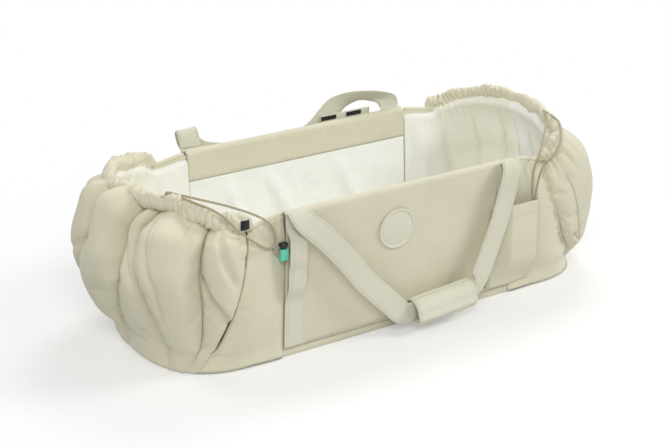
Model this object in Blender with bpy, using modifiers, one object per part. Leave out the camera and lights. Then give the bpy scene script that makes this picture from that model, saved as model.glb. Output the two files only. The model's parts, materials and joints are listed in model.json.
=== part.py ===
"""Baby sleep carrier: a padded lie-flat bag with two stiff sides, two gathered ends and two carry handles.

Units are metres, +Z is up, X runs along the length and -Y is the front side with the badge.
The origin is on the floor under the middle of the base.
"""
import bpy
import bmesh
from math import acos, atan2, cos, pi, radians, sin
from mathutils import Matrix, Vector

# Stiff side walls
WALL_HALF = 0.190            # half of the stiff wall's length
FOOT_HALF_WIDTH = 0.1365     # outer face of a wall at its foot
RIM_HALF_WIDTH = 0.148       # outer face of a wall at its rim
RIM_Z = 0.215
WALL_THICK = 0.016
WALL_SKIN = 0.003            # outer cloth with its thin padding
WALL_CROWN = 0.003           # how far the padded face swells
CUFF = 0.045                 # the outer cloth turns over the rim and ends this far down inside
BOARD_THICK = 0.003
FOAM_THICK = 0.0052
LINING_THICK = 0.004

# Base
BAND_Z = 0.0125              # height of the base's side band
BASE_SKIN = 0.003
BASE_REACH = 0.345           # from the middle to the tip of the base
BASE_BOARD = 0.004
BASE_CORNER = 2.8            # 2 is an ellipse, more is squarer

# Padded ends, measured on their smooth inner face
END_ROOT = WALL_HALF
END_CORNER = 2.7
LEVELS_Z = (0.013, 0.053, 0.093, 0.133, 0.173, 0.213)
LEVELS_REACH = (0.325, 0.355, 0.371, 0.377, 0.368, 0.343)
LEVELS_WIDTH = (0.1235, 0.137, 0.144, 0.146, 0.142, 0.134)
SIDE_PAD = 0.0136            # thickness of a smooth side panel
SIDE_PAD_EDGE = 0.009        # and where it meets the gathers
SEAM_TOP_X = 0.243           # where the gathered end is sewn to the side panel, at the rim
SEAM_RUN = 0.070             # how far the seam runs towards the tip at the base
SEAM_HIGH_Z = 0.197
SEAM_LOW_Z = 0.037
PUFF_CREASE = 0.007          # thickness in a crease
PUFF_CROWN = 0.027           # thickness on top of a puff
END_TOP_SEAM_Z = 0.198       # top of the gathered shell at the seam
END_TOP_TIP_Z = 0.219        # and at the tip
TOP_RISE = 1.15              # how early the top edge climbs, seen from above
LINING_RISE = 2.2            # and the lining's
PULL = 0.028                 # the drawn cord pulls the rim in beside its eyelet
PULL_ANGLE = radians(-28)
PULL_SPREAD = radians(45)

# Gathered hem with its cord
HEM_RADIUS = 0.0068
HEM_RUFFLE = 0.0012
HEM_WALL = 0.0018
CORD_RADIUS = 0.0015
CORD_STATION = 0.0095        # spacing of the points that a strand is drawn through

# Handles
STRAP_WIDTH = 0.034
STRAP_THICK = 0.0024
ANCHOR_X = 0.175             # middle of each strap
ANCHOR_THICK = 0.002
HINGE_Y = 0.150
HINGE_Z = 0.216
ROOT_Z = 0.2152              # cut end of the rear handle, just over its anchor strap
ANCHOR_TOP = 0.2144
GRIP_LEFT = Vector((0.000, -0.164, 0.031))
GRIP_RIGHT = Vector((0.101, -0.164, 0.038))
GRIP_BORE = 0.016
GRIP_LEAD = 0.010            # the strap is already flat this far outside the grip
GRIP_CEILING = 0.045         # and below this height
GRIP_SKIN = 0.0025
TAPE_THICK = 0.001
REAR_GRIP = (0.056, 0.146)   # from left to right
REAR_GRIP_Y = 0.166          # the strap's middle plane inside the rear grip
REAR_GRIP_Z = (0.1765, 0.2055, 0.2165)   # fold, top of the flap, top of the sleeve
REAR_TAPES = (0.0695, 0.1155)           # middles of the two patches of hook tape
REAR_TAPE_LONG = 0.027
REAR_TAPE_TALL = 0.0065

# Mattress
MATTRESS_HALF_LENGTH = 0.303
MATTRESS_HALF_WIDTH = 0.1135
MATTRESS_EDGE = 0.020
MATTRESS_CROWN = 0.009

# Cord lock, heights measured from the foot of its barrel
LOCK_WIDE = 0.012
LOCK_DEEP = 0.009
LOCK_TALL = 0.016
LOCK_BORE = 0.0035
LOCK_FLOOR = 0.0016
LOCK_SLOT = (0.0077, 0.0145)
CORD_HEIGHTS = (0.0127, 0.0094)
SHANK_BOTTOM = 0.0065
PLUNGER_TRAVEL = 0.003
HEAD_BOTTOM = 0.0192
HEAD_TALL = 0.0053
LOCK_SLIDE = 0.008
SPRING_TURNS = 2.5
SPRING_WIRE = 0.0003
LEFT_LOCK = Vector((0.198, -0.1512, 0.1525))    # middle of the barrel's foot, seen from its own end
RIGHT_LOCK = Vector((0.2075, -0.1542, 0.105))

# Trim
EYELET_ANGLE = radians(-18)
EYELET_RADIUS = 0.0065
EYELET_BORE = 0.0037
EYELET_THICK = 0.002
POUCH_STAND = 0.0125         # how far the left strap stands off round its cord lock
POCKET_LEFT = 0.151
POCKET_RIGHT = 0.230
POCKET_BOTTOM = 0.017
POCKET_TOP = 0.150
BADGE_X = -0.016
BADGE_Z = 0.155
BADGE_RADIUS = 0.029
BADGE_THICK = 0.0016
BADGE_RING = 0.0024
LABEL_SIDE = 0.013
LABEL_THICK = 0.0008

# Clearances
FIT = 0.0004                 # between sewn or resting pieces
SEAM_GAP = 0.0008            # between pads that meet at a seam
GATHER_GAP = 0.0020          # between a side panel and the gathers sewn to it
LINING_GAP = 0.0032          # between an end's pads and its lining
DRAWN_GAP = 0.0030           # more room where the cord draws the rim in

STONE = (0.66, 0.62, 0.50, 1.0)
STONE_PALE = (0.71, 0.68, 0.56, 1.0)
IVORY = (0.83, 0.83, 0.78, 1.0)


def clear_scene():
    for scene_object in list(bpy.data.objects):
        bpy.data.objects.remove(scene_object, do_unlink=True)


def new_collection(name):
    collection = bpy.data.collections.new(name)
    bpy.context.scene.collection.children.link(collection)
    return collection


def material(name, colour, roughness, metallic=0.0):
    made = bpy.data.materials.get(name)
    if made is None:
        made = bpy.data.materials.new(name)
        made.use_nodes = True
        shader = made.node_tree.nodes["Principled BSDF"]
        shader.inputs["Base Color"].default_value = colour
        shader.inputs["Roughness"].default_value = roughness
        shader.inputs["Metallic"].default_value = metallic
    return made


def cloth():
    return material("stone_cloth", STONE, 0.9)


def webbing():
    return material("pale_webbing", STONE_PALE, 0.85)


def ivory_lining():
    return material("ivory_lining", IVORY, 0.95)


def white_mesh():
    return material("white_air_mesh", (0.86, 0.87, 0.84, 1.0), 0.95)


def board():
    return material("stiff_board", (0.30, 0.30, 0.29, 1.0), 0.6)


def foam():
    return material("grey_foam", (0.62, 0.62, 0.60, 1.0), 0.95)


def mint_plastic():
    return material("mint_plastic", (0.25, 0.66, 0.52, 1.0), 0.4)


def black_plastic():
    return material("black_plastic", (0.03, 0.03, 0.03, 1.0), 0.5)


def hook_tape():
    return material("black_hook_tape", (0.02, 0.02, 0.02, 1.0), 0.95)


def spring_steel():
    return material("spring_steel", (0.60, 0.60, 0.62, 1.0), 0.3, 1.0)


def finish(thing, name, collection, surface):
    """Name an object, give it its material and put it in its collection alone."""
    thing.name = name
    thing.data.name = name
    thing.data.materials.clear()
    thing.data.materials.append(surface)
    for owner in list(thing.users_collection):
        owner.objects.unlink(thing)
    collection.objects.link(thing)
    return thing


def clamp(value, low=0.0, high=1.0):
    return max(low, min(high, value))


def mix(a, b, t):
    return a + (b - a) * t


def ease(t):
    t = clamp(t)
    return t * t * (3 - 2 * t)


def plateau(value, start, full_from, full_to, end):
    """Zero outside start and end, one between full_from and full_to, eased between."""
    rise = ease((value - start) / (full_from - start))
    fall = ease((end - value) / (end - full_to))
    return min(rise, fall)


def signed_power(value, power):
    return abs(value) ** power * (1 if value >= 0 else -1)


def through(values, t):
    """A smooth curve through evenly spaced values or vectors, t from 0 to 1."""
    spans = len(values) - 1
    place = clamp(t) * spans
    index = min(int(place), spans - 1)
    f = place - index
    p1 = values[index]
    p2 = values[index + 1]
    p0 = values[index - 1] if index > 0 else p1 + (p1 - p2)
    p3 = values[index + 2] if index + 2 <= spans else p2 + (p2 - p1)
    return (p1 * 2 + (p2 - p0) * f + (p0 * 2 - p1 * 5 + p2 * 4 - p3) * f * f
            + (p1 * 3 - p0 - p2 * 3 + p3) * f * f * f) * 0.5


def mapped_sheet(name, columns, rows, place, thickness, away_from, collection, surface,
                 offset=1.0, padding=None):
    """A flat grid laid on place(u, v) and made a closed pad by Solidify.

    Its faces look away from the given point, and the thickness grows that way where offset is 1.
    padding(u, v) scales the thickness from 0 to 1.
    """
    bpy.ops.mesh.primitive_grid_add(x_subdivisions=columns, y_subdivisions=rows, size=1)
    sheet = bpy.context.object
    weights = []
    for vertex in sheet.data.vertices:
        u = vertex.co.x + 0.5
        v = vertex.co.y + 0.5
        weights.append(padding(u, v) if padding else 1.0)
        vertex.co = place(u, v)
    shape = bmesh.new()
    shape.from_mesh(sheet.data)
    shape.normal_update()
    outward = sum((face.calc_center_median() - away_from).dot(face.normal) * face.calc_area()
                  for face in shape.faces)
    if outward < 0:
        bmesh.ops.reverse_faces(shape, faces=shape.faces)
    shape.to_mesh(sheet.data)
    shape.free()
    solidify = sheet.modifiers.new("Pad", "SOLIDIFY")
    solidify.thickness = thickness
    solidify.offset = offset
    solidify.use_even_offset = padding is None
    if padding:
        group = sheet.vertex_groups.new(name="padding")
        for index, weight in enumerate(weights):
            group.add([index], weight, "REPLACE")
        solidify.vertex_group = "padding"
    sheet.data.shade_smooth()
    return finish(sheet, name, collection, surface)


def lofted_pad(name, columns, rows, inner, outer, collection, surface):
    """Two flat grids laid on inner(u, v) and outer(u, v) and bridged along their edges."""
    shape = bmesh.new()
    rims = []
    for place in (inner, outer):
        made = bmesh.ops.create_grid(shape, x_segments=columns, y_segments=rows, size=0.5)
        grid = made["verts"]
        for vertex in grid:
            vertex.co = place(vertex.co.x + 0.5, vertex.co.y + 0.5)
        members = set(grid)
        rims.append([edge for edge in shape.edges if edge.is_boundary and edge.verts[0] in members])
    bmesh.ops.bridge_loops(shape, edges=rims[0] + rims[1])
    bmesh.ops.recalc_face_normals(shape, faces=shape.faces)
    mesh = bpy.data.meshes.new(name)
    shape.to_mesh(mesh)
    shape.free()
    pad = bpy.data.objects.new(name, mesh)
    bpy.context.scene.collection.objects.link(pad)
    mesh.shade_smooth()
    mesh.set_sharp_from_angle(angle=radians(50))
    return finish(pad, name, collection, surface)


def rounded_box(name, size, place, turn_x, radius, collection, surface):
    """A box primitive with its scale applied, then rounded edges."""
    bpy.ops.mesh.primitive_cube_add(size=1, location=place, rotation=(turn_x, 0, 0))
    box = bpy.context.object
    box.data.transform(Matrix.Diagonal((*size, 1)))
    bevel = box.modifiers.new("Edges", "BEVEL")
    bevel.width = radius
    bevel.segments = 2
    return finish(box, name, collection, surface)


def as_mesh(curve_object):
    """Turn a finished curve into a welded mesh object in the same place."""
    bpy.context.view_layer.update()
    graph = bpy.context.evaluated_depsgraph_get()
    mesh = bpy.data.meshes.new_from_object(curve_object.evaluated_get(graph))
    shape = bmesh.new()
    shape.from_mesh(mesh)
    bmesh.ops.remove_doubles(shape, verts=shape.verts, dist=0.00001)
    shape.to_mesh(mesh)
    shape.free()
    made = bpy.data.objects.new(curve_object.name, mesh)
    made.matrix_world = curve_object.matrix_world
    bpy.context.scene.collection.objects.link(made)
    bpy.data.objects.remove(curve_object, do_unlink=True)
    return made


def slab_from_outline(outline, bottom, top):
    """A flat plate with the given outline, as a mesh object."""
    data = bpy.data.curves.new("outline", "CURVE")
    data.dimensions = "2D"
    data.fill_mode = "BOTH"
    data.extrude = (top - bottom) / 2
    spline = data.splines.new("POLY")
    spline.points.add(len(outline) - 1)
    for point, (x, y) in zip(spline.points, outline):
        point.co = (x, y, 0, 1)
    spline.use_cyclic_u = True
    plate = bpy.data.objects.new("plate", data)
    plate.location.z = (bottom + top) / 2
    bpy.context.scene.collection.objects.link(plate)
    return as_mesh(plate)


def cord_tube(name, points, radius, collection, surface, closed=False, sides=2):
    """A round tube along the given points."""
    data = bpy.data.curves.new(name, "CURVE")
    data.dimensions = "3D"
    data.bevel_depth = radius
    data.bevel_resolution = sides
    data.use_fill_caps = True
    spline = data.splines.new("POLY")
    spline.points.add(len(points) - 1)
    for point, where in zip(spline.points, points):
        point.co = (*where, 1)
    spline.use_cyclic_u = closed
    tube = bpy.data.objects.new(name, data)
    bpy.context.scene.collection.objects.link(tube)
    return finish(as_mesh(tube), name, collection, surface)


def cut(target, cutter, cutters, operation="DIFFERENCE"):
    """A boolean with the exact solver, the cutter kept out of renders."""
    boolean = target.modifiers.new("Cut", "BOOLEAN")
    boolean.operation = operation
    boolean.object = cutter
    cutter.hide_render = True
    cutter.display_type = "WIRE"
    for owner in list(cutter.users_collection):
        owner.objects.unlink(cutter)
    cutters.objects.link(cutter)


def spaced(points, step):
    """Points at an even step along a smooth curve through the given ones."""
    fine_count = 40 * (len(points) - 1)
    fine = [through(points, i / fine_count) for i in range(fine_count + 1)]
    lengths = [0.0]
    for a, b in zip(fine, fine[1:]):
        lengths.append(lengths[-1] + (b - a).length)
    count = max(2, round(lengths[-1] / step))
    result = []
    index = 0
    for i in range(count + 1):
        goal = lengths[-1] * i / count
        while index < len(lengths) - 2 and lengths[index + 1] < goal:
            index += 1
        span = lengths[index + 1] - lengths[index]
        result.append(fine[index].lerp(fine[index + 1], clamp((goal - lengths[index]) / span)))
    return result


# Body shape shared by the pieces

def wall_half_width(z):
    """Outer face of a side wall at a height."""
    return mix(FOOT_HALF_WIDTH, RIM_HALF_WIDTH, (z - BAND_Z) / (RIM_Z - BAND_Z))


def wall_crown(x, z):
    along = clamp((x + WALL_HALF) / (2 * WALL_HALF))
    up = clamp((z - BAND_Z) / (RIM_Z - WALL_THICK / 2 - BAND_Z))
    return WALL_CROWN * sin(pi * along) ** 0.7 * sin(pi * up) ** 0.7


def level(values, z):
    return through(values, (z - LEVELS_Z[0]) / (LEVELS_Z[-1] - LEVELS_Z[0]))


def drawn_in(angle, z):
    """How far the cord pulls the rim in: most beside the eyelet and nothing low down."""
    beside = cos(pi / 2 * clamp(abs(angle - PULL_ANGLE) / PULL_SPREAD)) ** 2
    return PULL * beside * ease((z - 0.12) / 0.09)


def inner_half_width(x, z):
    """Half width of the padded end's inner face, before its corner rounds off."""
    at_wall = wall_half_width(z) - SIDE_PAD - FIT
    return mix(at_wall, level(LEVELS_WIDTH, z), ease((x - END_ROOT) / 0.065))


def end_point(angle, z, inset=0.0):
    """A point on an end's inner face: angle 0 at the tip, plus or minus 90 degrees at the walls."""
    reach = level(LEVELS_REACH, z) - inset - drawn_in(angle, z)
    x = END_ROOT + (reach - END_ROOT) * abs(cos(angle)) ** (2 / END_CORNER)
    y = (inner_half_width(x, z) - inset) * signed_power(sin(angle), 2 / END_CORNER)
    return Vector((x, y, z))


def end_outward(angle, z):
    """The level direction that points straight out of an end at an angle."""
    step = 0.01
    ahead = end_point(min(angle + step, pi / 2), z)
    behind = end_point(max(angle - step, -pi / 2), z)
    along = ahead - behind
    square_at_wall = ease((end_point(angle, z).x - END_ROOT) / 0.03)
    return Vector((along.y * square_at_wall, -along.x, 0)).normalized()


def end_angle(x, z):
    """The angle at which an end's inner face has the given x."""
    share = clamp((x - END_ROOT) / (level(LEVELS_REACH, z) - END_ROOT))
    return acos(share ** (END_CORNER / 2))


def even_angles():
    """Angles from the tip to a wall that are evenly spaced along the end's outline."""
    steps = 240
    z = LEVELS_Z[2]
    angles = [pi / 2 * i / steps for i in range(steps + 1)]
    points = [end_point(angle, z) for angle in angles]
    lengths = [0.0]
    for a, b in zip(points, points[1:]):
        lengths.append(lengths[-1] + (b - a).length)
    return angles, [length / lengths[-1] for length in lengths]


def angle_at(share, table):
    """The angle at a share of the way from the tip to a wall; negative shares are the front."""
    angles, shares = table
    goal = clamp(abs(share))
    index = 0
    while index < len(shares) - 2 and shares[index + 1] < goal:
        index += 1
    t = (goal - shares[index]) / (shares[index + 1] - shares[index])
    return mix(angles[index], angles[index + 1], t) * (1 if share >= 0 else -1)


def share_at(angle, table):
    """The share of the way from the tip to a wall at an angle."""
    angles, shares = table
    place = clamp(abs(angle) / (pi / 2)) * (len(angles) - 1)
    index = min(int(place), len(angles) - 2)
    return mix(shares[index], shares[index + 1], place - index) * (1 if angle >= 0 else -1)


def seam_x(z):
    """How far from the middle the gathered end is sewn on, at a height."""
    fall = max(0.0, (SEAM_HIGH_Z - z) / (SEAM_HIGH_Z - SEAM_LOW_Z))
    return min(SEAM_TOP_X + SEAM_RUN * fall ** 3.2, level(LEVELS_REACH, z) - 0.012)


def end_top_z(angle):
    """Top edge of a gathered end: it climbs from the seams to the tip."""
    return mix(END_TOP_SEAM_Z, END_TOP_TIP_Z, ease(cos(angle) * TOP_RISE))


def rim_path(angle, z_above):
    """The hem's middle line over an end, as seen at an angle."""
    z = end_top_z(angle)
    point = end_point(angle, z, inset=-0.0078)
    return Vector((point.x, point.y, z + z_above))


def sided(point, side):
    return Vector((point.x * side, point.y, point.z))


def base_outline(inset):
    """The base seen from above: straight along the walls, rounded at both tips."""
    reach = BASE_REACH - inset
    half = FOOT_HALF_WIDTH - inset
    steps = 22
    outline = []
    for side in (1, -1):
        for i in range(steps + 1):
            angle = pi / 2 - pi * i / steps
            x = WALL_HALF + (reach - WALL_HALF) * abs(cos(angle)) ** (2 / BASE_CORNER)
            y = half * signed_power(sin(angle), 2 / BASE_CORNER)
            outline.append((x * side, y * side))
    return outline


def make_base(parts, cutters):
    cover = slab_from_outline(base_outline(0), 0, BAND_Z)
    recess = slab_from_outline(base_outline(BASE_SKIN), BASE_SKIN, BAND_Z + 0.01)
    recess.name = "base_recess_cutter"
    cut(cover, recess, cutters)
    finish(cover, "base_cover", parts, cloth())
    board_bottom = BASE_SKIN + FIT
    plate = slab_from_outline(base_outline(BASE_SKIN + FIT), board_bottom, board_bottom + BASE_BOARD)
    finish(plate, "base_board", parts, board())
    floor_bottom = board_bottom + BASE_BOARD + FIT
    floor = slab_from_outline(base_outline(BASE_SKIN + FIT), floor_bottom, BAND_Z)
    finish(floor, "base_lining", parts, ivory_lining())


def make_mattress(parts):
    """A foam mattress with rounded sides and a crowned top, from a sphere pulled square."""
    bpy.ops.mesh.primitive_uv_sphere_add(segments=32, ring_count=10, radius=1)
    pad = bpy.context.object
    for vertex in pad.data.vertices:
        x, y, z = vertex.co
        angle = atan2(y, x)
        out = clamp((x * x + y * y) ** 0.5) ** 0.35
        across = Vector((signed_power(cos(angle), 0.72), signed_power(sin(angle), 0.72)))
        crown = MATTRESS_CROWN * (1 - out ** 2)
        height = MATTRESS_EDGE / 2 * signed_power(z, 0.5)
        vertex.co.x = MATTRESS_HALF_LENGTH * out * across.x
        vertex.co.y = MATTRESS_HALF_WIDTH * out * across.y
        vertex.co.z = height + (crown if z > 0 else 0)
    pad.location.z = BAND_Z + FIT + MATTRESS_EDGE / 2
    pad.data.shade_smooth()
    finish(pad, "mattress", parts, ivory_lining())


def wall_profile(rows_up, rows_over, rows_down):
    """Depth and height of the wall cloth from its foot, over the rim and down inside."""
    radius = WALL_THICK / 2
    shoulder = RIM_Z - radius
    profile = [(0.0, mix(BAND_Z + SEAM_GAP, shoulder, i / rows_up)) for i in range(rows_up)]
    for i in range(rows_over + 1):
        angle = pi * i / rows_over
        profile.append((radius - radius * cos(angle), shoulder + radius * sin(angle)))
    low = RIM_Z - CUFF
    profile += [(WALL_THICK, mix(shoulder, low, i / rows_down)) for i in range(1, rows_down + 1)]
    return profile


def make_wall(label, face, parts):
    """One stiff side: cloth over the rim, foam, board and the mesh lining inside."""
    profile = wall_profile(6, 6, 2)
    rows = len(profile) - 1
    lean = atan2(RIM_HALF_WIDTH - FOOT_HALF_WIDTH, RIM_Z - BAND_Z)

    def cover_point(u, v):
        depth, z = profile[round(v * rows)]
        x = mix(-WALL_HALF, WALL_HALF, u)
        swell = wall_crown(x, z) if depth == 0 else 0
        return Vector((x, face * (wall_half_width(z) - depth + swell), z))

    inside = Vector((0, face * (FOOT_HALF_WIDTH - WALL_THICK / 2), RIM_Z / 2))
    mapped_sheet(label + "_wall_cover", 9, rows, cover_point, WALL_SKIN, inside, parts, cloth(),
                 offset=-1.0)

    plate_low = BAND_Z + FIT
    plate_high = RIM_Z - WALL_THICK / 2
    middle_z = (plate_low + plate_high) / 2
    foam_depth = WALL_SKIN + FIT + FOAM_THICK / 2
    board_depth = WALL_SKIN + 2 * FIT + FOAM_THICK + BOARD_THICK / 2
    for piece, depth, thick, surface in (("foam", foam_depth, FOAM_THICK, foam()),
                                         ("board", board_depth, BOARD_THICK, board())):
        y = face * (wall_half_width(middle_z) - depth)
        size = (2 * WALL_HALF - 0.004, thick, (plate_high - plate_low) - 0.001)
        rounded_box(label + "_wall_" + piece, size, (0, y, middle_z), -face * lean, 0.0008,
                    parts, surface)

    def lining_point(u, v):
        z = mix(BAND_Z + FIT, RIM_Z - CUFF - SEAM_GAP, v)
        x = mix(-WALL_HALF, WALL_HALF, u)
        hang = 0.0012 * sin(pi * v) * (1 - cos(2 * pi * 3 * u)) / 2
        depth = WALL_SKIN + 3 * FIT + FOAM_THICK + BOARD_THICK + hang
        return Vector((x, face * (wall_half_width(z) - depth), z))

    middle = Vector((0, 0, RIM_Z / 2))
    mapped_sheet(label + "_wall_lining", 12, 4, lining_point, LINING_THICK, middle, parts,
                 white_mesh(), offset=-1.0)


def low_rows(v):
    """Rows of the padded ends, closer together near the base."""
    return v ** 1.25


def make_side_panel(label, side, face, parts):
    """A smooth padded panel between a stiff wall and the gathered end."""
    seam_top = end_top_z(end_angle(seam_x(END_TOP_SEAM_Z), END_TOP_SEAM_Z))

    def surface_point(u, v, padded):
        top = mix(RIM_Z - 0.006, seam_top, ease(u))
        z = mix(BAND_Z + SEAM_GAP, top, low_rows(v))
        x = mix(WALL_HALF + SEAM_GAP, seam_x(z), u)
        angle = end_angle(x, z) * face
        point = end_point(angle, z)
        thick = mix(SIDE_PAD, SIDE_PAD_EDGE, ease((u - 0.6) / 0.4))
        rim = mix(1.0, 0.55, ease((v - 0.85) / 0.15))
        return sided(point + end_outward(angle, z) * (thick * rim * padded), side)

    lofted_pad(label, 6, 9, lambda u, v: surface_point(u, v, 0), lambda u, v: surface_point(u, v, 1),
               parts, cloth())


def crease_positions():
    """Creases of the left end as shares of the way round, front seam to rear seam."""
    return (0.0, 0.125, 0.225, 0.4, 0.475, 0.6, 0.7, 0.8, 0.9, 1.0)


def puff(u, creases):
    """How full the padding is between two creases: 0 in a crease, 1 on top of a puff."""
    for start, end in zip(creases, creases[1:]):
        if start <= u <= end:
            across = (u - start) / (end - start)
            return sin(pi * clamp(across)) ** 0.6
    return 0.0


def make_end_shell(label, side, creases, table, parts):
    """A gathered end: fat puffs between creases, from the base up to the hem."""
    rim_angle = end_angle(seam_x(END_TOP_SEAM_Z), END_TOP_SEAM_Z)

    def thickness(u, v):
        fullness = sin(pi * clamp(v * 0.92 + 0.08)) ** 0.5
        return mix(PUFF_CREASE, PUFF_CROWN, puff(u, creases) * fullness)

    def surface_point(u, v, padded):
        z = mix(BAND_Z + SEAM_GAP, end_top_z(mix(-rim_angle, rim_angle, u)), low_rows(v))
        seam = share_at(end_angle(seam_x(z) + GATHER_GAP, z), table)
        angle = angle_at(mix(-seam, seam, u), table)
        return sided(end_point(angle, z) + end_outward(angle, z) * (thickness(u, v) * padded), side)

    lofted_pad(label, 38, 9, lambda u, v: surface_point(u, v, 0), lambda u, v: surface_point(u, v, 1),
               parts, cloth())


def make_end_lining(label, side, table, parts):
    """The soft lining of an end, from wall to wall."""
    def place(u, v):
        angle = angle_at(mix(-0.985, 0.985, u), table)
        top = mix(RIM_Z - 0.004, end_top_z(angle) + 0.012, ease(cos(angle) * LINING_RISE))
        z = mix(BAND_Z + FIT, top, v)
        return sided(end_point(angle, z, inset=LINING_GAP + DRAWN_GAP * ease((z - 0.14) / 0.06)), side)

    return mapped_sheet(label, 26, 7, place, LINING_THICK, Vector((side * 0.2, 0, 0.1)), parts,
                        ivory_lining(), offset=-1.0)


def rim_angles(count):
    """Angles along a hem, from the front seam round the tip to the rear seam."""
    last = end_angle(seam_x(END_TOP_SEAM_Z) + 2 * SEAM_GAP, END_TOP_SEAM_Z)
    return [mix(-last, last, i / count) for i in range(count + 1)]


HEM_LIFT = HEM_RADIUS + HEM_RUFFLE + FIT


def make_hem(end, side, parts):
    """A ruffled channel round the rim of an end, and the cord that runs in it."""
    centre = [sided(rim_path(angle, HEM_LIFT), side) for angle in rim_angles(36)]
    data = bpy.data.curves.new("hem", "CURVE")
    data.dimensions = "3D"
    data.bevel_depth = HEM_RADIUS
    data.bevel_resolution = 2
    spline = data.splines.new("POLY")
    spline.points.add(len(centre) - 1)
    for index, (point, where) in enumerate(zip(spline.points, centre)):
        point.co = (*where, 1)
        point.radius = 1 + HEM_RUFFLE / HEM_RADIUS * cos(pi / 2 * index)
    curve_object = bpy.data.objects.new("hem", data)
    bpy.context.scene.collection.objects.link(curve_object)
    hem = as_mesh(curve_object)
    solidify = hem.modifiers.new("Cloth", "SOLIDIFY")
    solidify.thickness = HEM_WALL
    solidify.offset = -1.0
    hem.data.shade_smooth()
    finish(hem, end + "_hem_channel", parts, cloth())
    drop = (HEM_RADIUS - HEM_RUFFLE - HEM_WALL) * cos(pi / 8) - CORD_RADIUS - FIT
    inside = [point - Vector((0, 0, drop)) for point in centre]
    cord_tube(end + "_hem_cord", inside, CORD_RADIUS, parts, webbing(), sides=1)


def front_face_y(x, z):
    """Distance from the middle plane to the outer face of a wall or side panel."""
    on_wall = wall_half_width(z) + (wall_crown(x, z) if abs(x) < WALL_HALF else 0)
    if abs(x) <= WALL_HALF:
        return on_wall
    near, far = radians(15), pi / 2
    for _ in range(24):
        angle = (near + far) / 2
        point = end_point(angle, z) + end_outward(angle, z) * SIDE_PAD
        if point.x > abs(x):
            near = angle
        else:
            far = angle
    return max(point.y, on_wall if abs(x) < WALL_HALF + 0.006 else 0)


def hinge_empty(name, place, pieces):
    """An empty on a joint's axis that carries the given pieces."""
    empty = bpy.data.objects.new(name, None)
    empty.empty_display_size = 0.02
    empty.location = place
    pieces[0].users_collection[0].objects.link(empty)
    bpy.context.view_layer.update()
    for piece in pieces:
        piece.parent = empty
        piece.matrix_parent_inverse = empty.matrix_world.inverted()
    return empty


def make_anchor_strap(name, side, face, stand_off, rows, parts):
    """A strap sewn up the outside of a wall; stand_off(outward, z) lifts it off the wall."""
    half = STRAP_WIDTH / 2
    low = BAND_Z + 0.0025

    def place(u, v):
        x = side * ANCHOR_X + mix(-half, half, u)
        z = mix(low, ANCHOR_TOP, v)
        face_z = min(z, RIM_Z - WALL_THICK / 2)
        lift = FIT + stand_off(side * x - ANCHOR_X, z)
        return Vector((x, face * (front_face_y(x, face_z) + lift), z))

    away = Vector((side * ANCHOR_X, 0, RIM_Z / 2))
    columns = 5 if stand_off is left_pouch else 2
    return mapped_sheet(name, columns, rows, place, ANCHOR_THICK, away, parts, webbing(), offset=1.0)


def flat_strap(outward, z):
    return 0.0


def left_pouch(outward, z):
    """How far the left front strap stands off: round the cord lock and, lower, round its tail."""
    over_lock = plateau(z, 0.105, 0.148, 0.1785, 0.197)
    over_tail = plateau(z, 0.080, 0.112, 0.1785, 0.197) * 0.78
    reach = ease((outward + 0.0168) / 0.0095)
    return POUCH_STAND * max(over_lock, over_tail) * reach


def make_pocket(parts):
    """The pocket at the front right, standing off over the hidden cord lock."""
    bulge_y = -RIGHT_LOCK.y + LOCK_DEEP / 2 + 0.0006

    def place(u, v):
        x = mix(POCKET_LEFT, POCKET_RIGHT, u)
        z = mix(POCKET_BOTTOM, POCKET_TOP, v)
        over_strap = plateau(x, 0.1515, 0.1565, 0.1935, 0.200) * (ANCHOR_THICK + 0.0006)
        over_lock = plateau(x, 0.163, 0.1795, 0.2240, POCKET_RIGHT) * ease((z - 0.030) / 0.038)
        flat = front_face_y(x, z) + FIT + 0.0002 + over_strap
        return Vector((x, -max(flat, mix(flat, bulge_y, over_lock)), z))

    mapped_sheet("front_right_pocket", 14, 7, place, ANCHOR_THICK, Vector((0.19, 0, 0.1)), parts,
                 webbing(), offset=1.0)


def turned(name, profile, place, tilt, steps, collection, surface):
    """A Screw modifier on a closed profile of (radius, height), turned about its own axis."""
    mesh = bpy.data.meshes.new(name)
    shape = bmesh.new()
    corners = [shape.verts.new((radius, 0, height)) for radius, height in profile]
    for first, second in zip(corners, corners[1:] + corners[:1]):
        if not (first.co.x == 0 and second.co.x == 0):
            shape.edges.new((first, second))
    shape.to_mesh(mesh)
    shape.free()
    thing = bpy.data.objects.new(name, mesh)
    bpy.context.scene.collection.objects.link(thing)
    thing.location = place
    thing.rotation_mode = "QUATERNION"
    thing.rotation_quaternion = tilt
    screw = thing.modifiers.new("Turn", "SCREW")
    screw.steps = steps
    screw.render_steps = steps
    screw.use_merge_vertices = True
    screw.merge_threshold = 0.0001
    screw.use_normal_calculate = True
    return finish(thing, name, collection, surface)


def make_badge(parts):
    """A blank round badge with a raised ring, flat against the front wall."""
    y = -(front_face_y(BADGE_X, BADGE_Z) + FIT + 0.0002)
    lean = atan2(RIM_HALF_WIDTH - FOOT_HALF_WIDTH, RIM_Z - BAND_Z)
    facing = Vector((0, -cos(lean), -sin(lean)))
    ring = 0.0035
    profile = [(0, 0), (BADGE_RADIUS - 0.0006, 0), (BADGE_RADIUS, 0.0006),
               (BADGE_RADIUS, BADGE_RING - 0.0008),
               (BADGE_RADIUS - 0.001, BADGE_RING), (BADGE_RADIUS - ring + 0.0005, BADGE_RING),
               (BADGE_RADIUS - ring, BADGE_THICK), (0, BADGE_THICK)]
    turned("badge", profile, (BADGE_X, y, BADGE_Z), facing.to_track_quat("Z", "Y"), 32, parts,
           material("badge_stone", (0.74, 0.71, 0.60, 1.0), 0.6))


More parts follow.
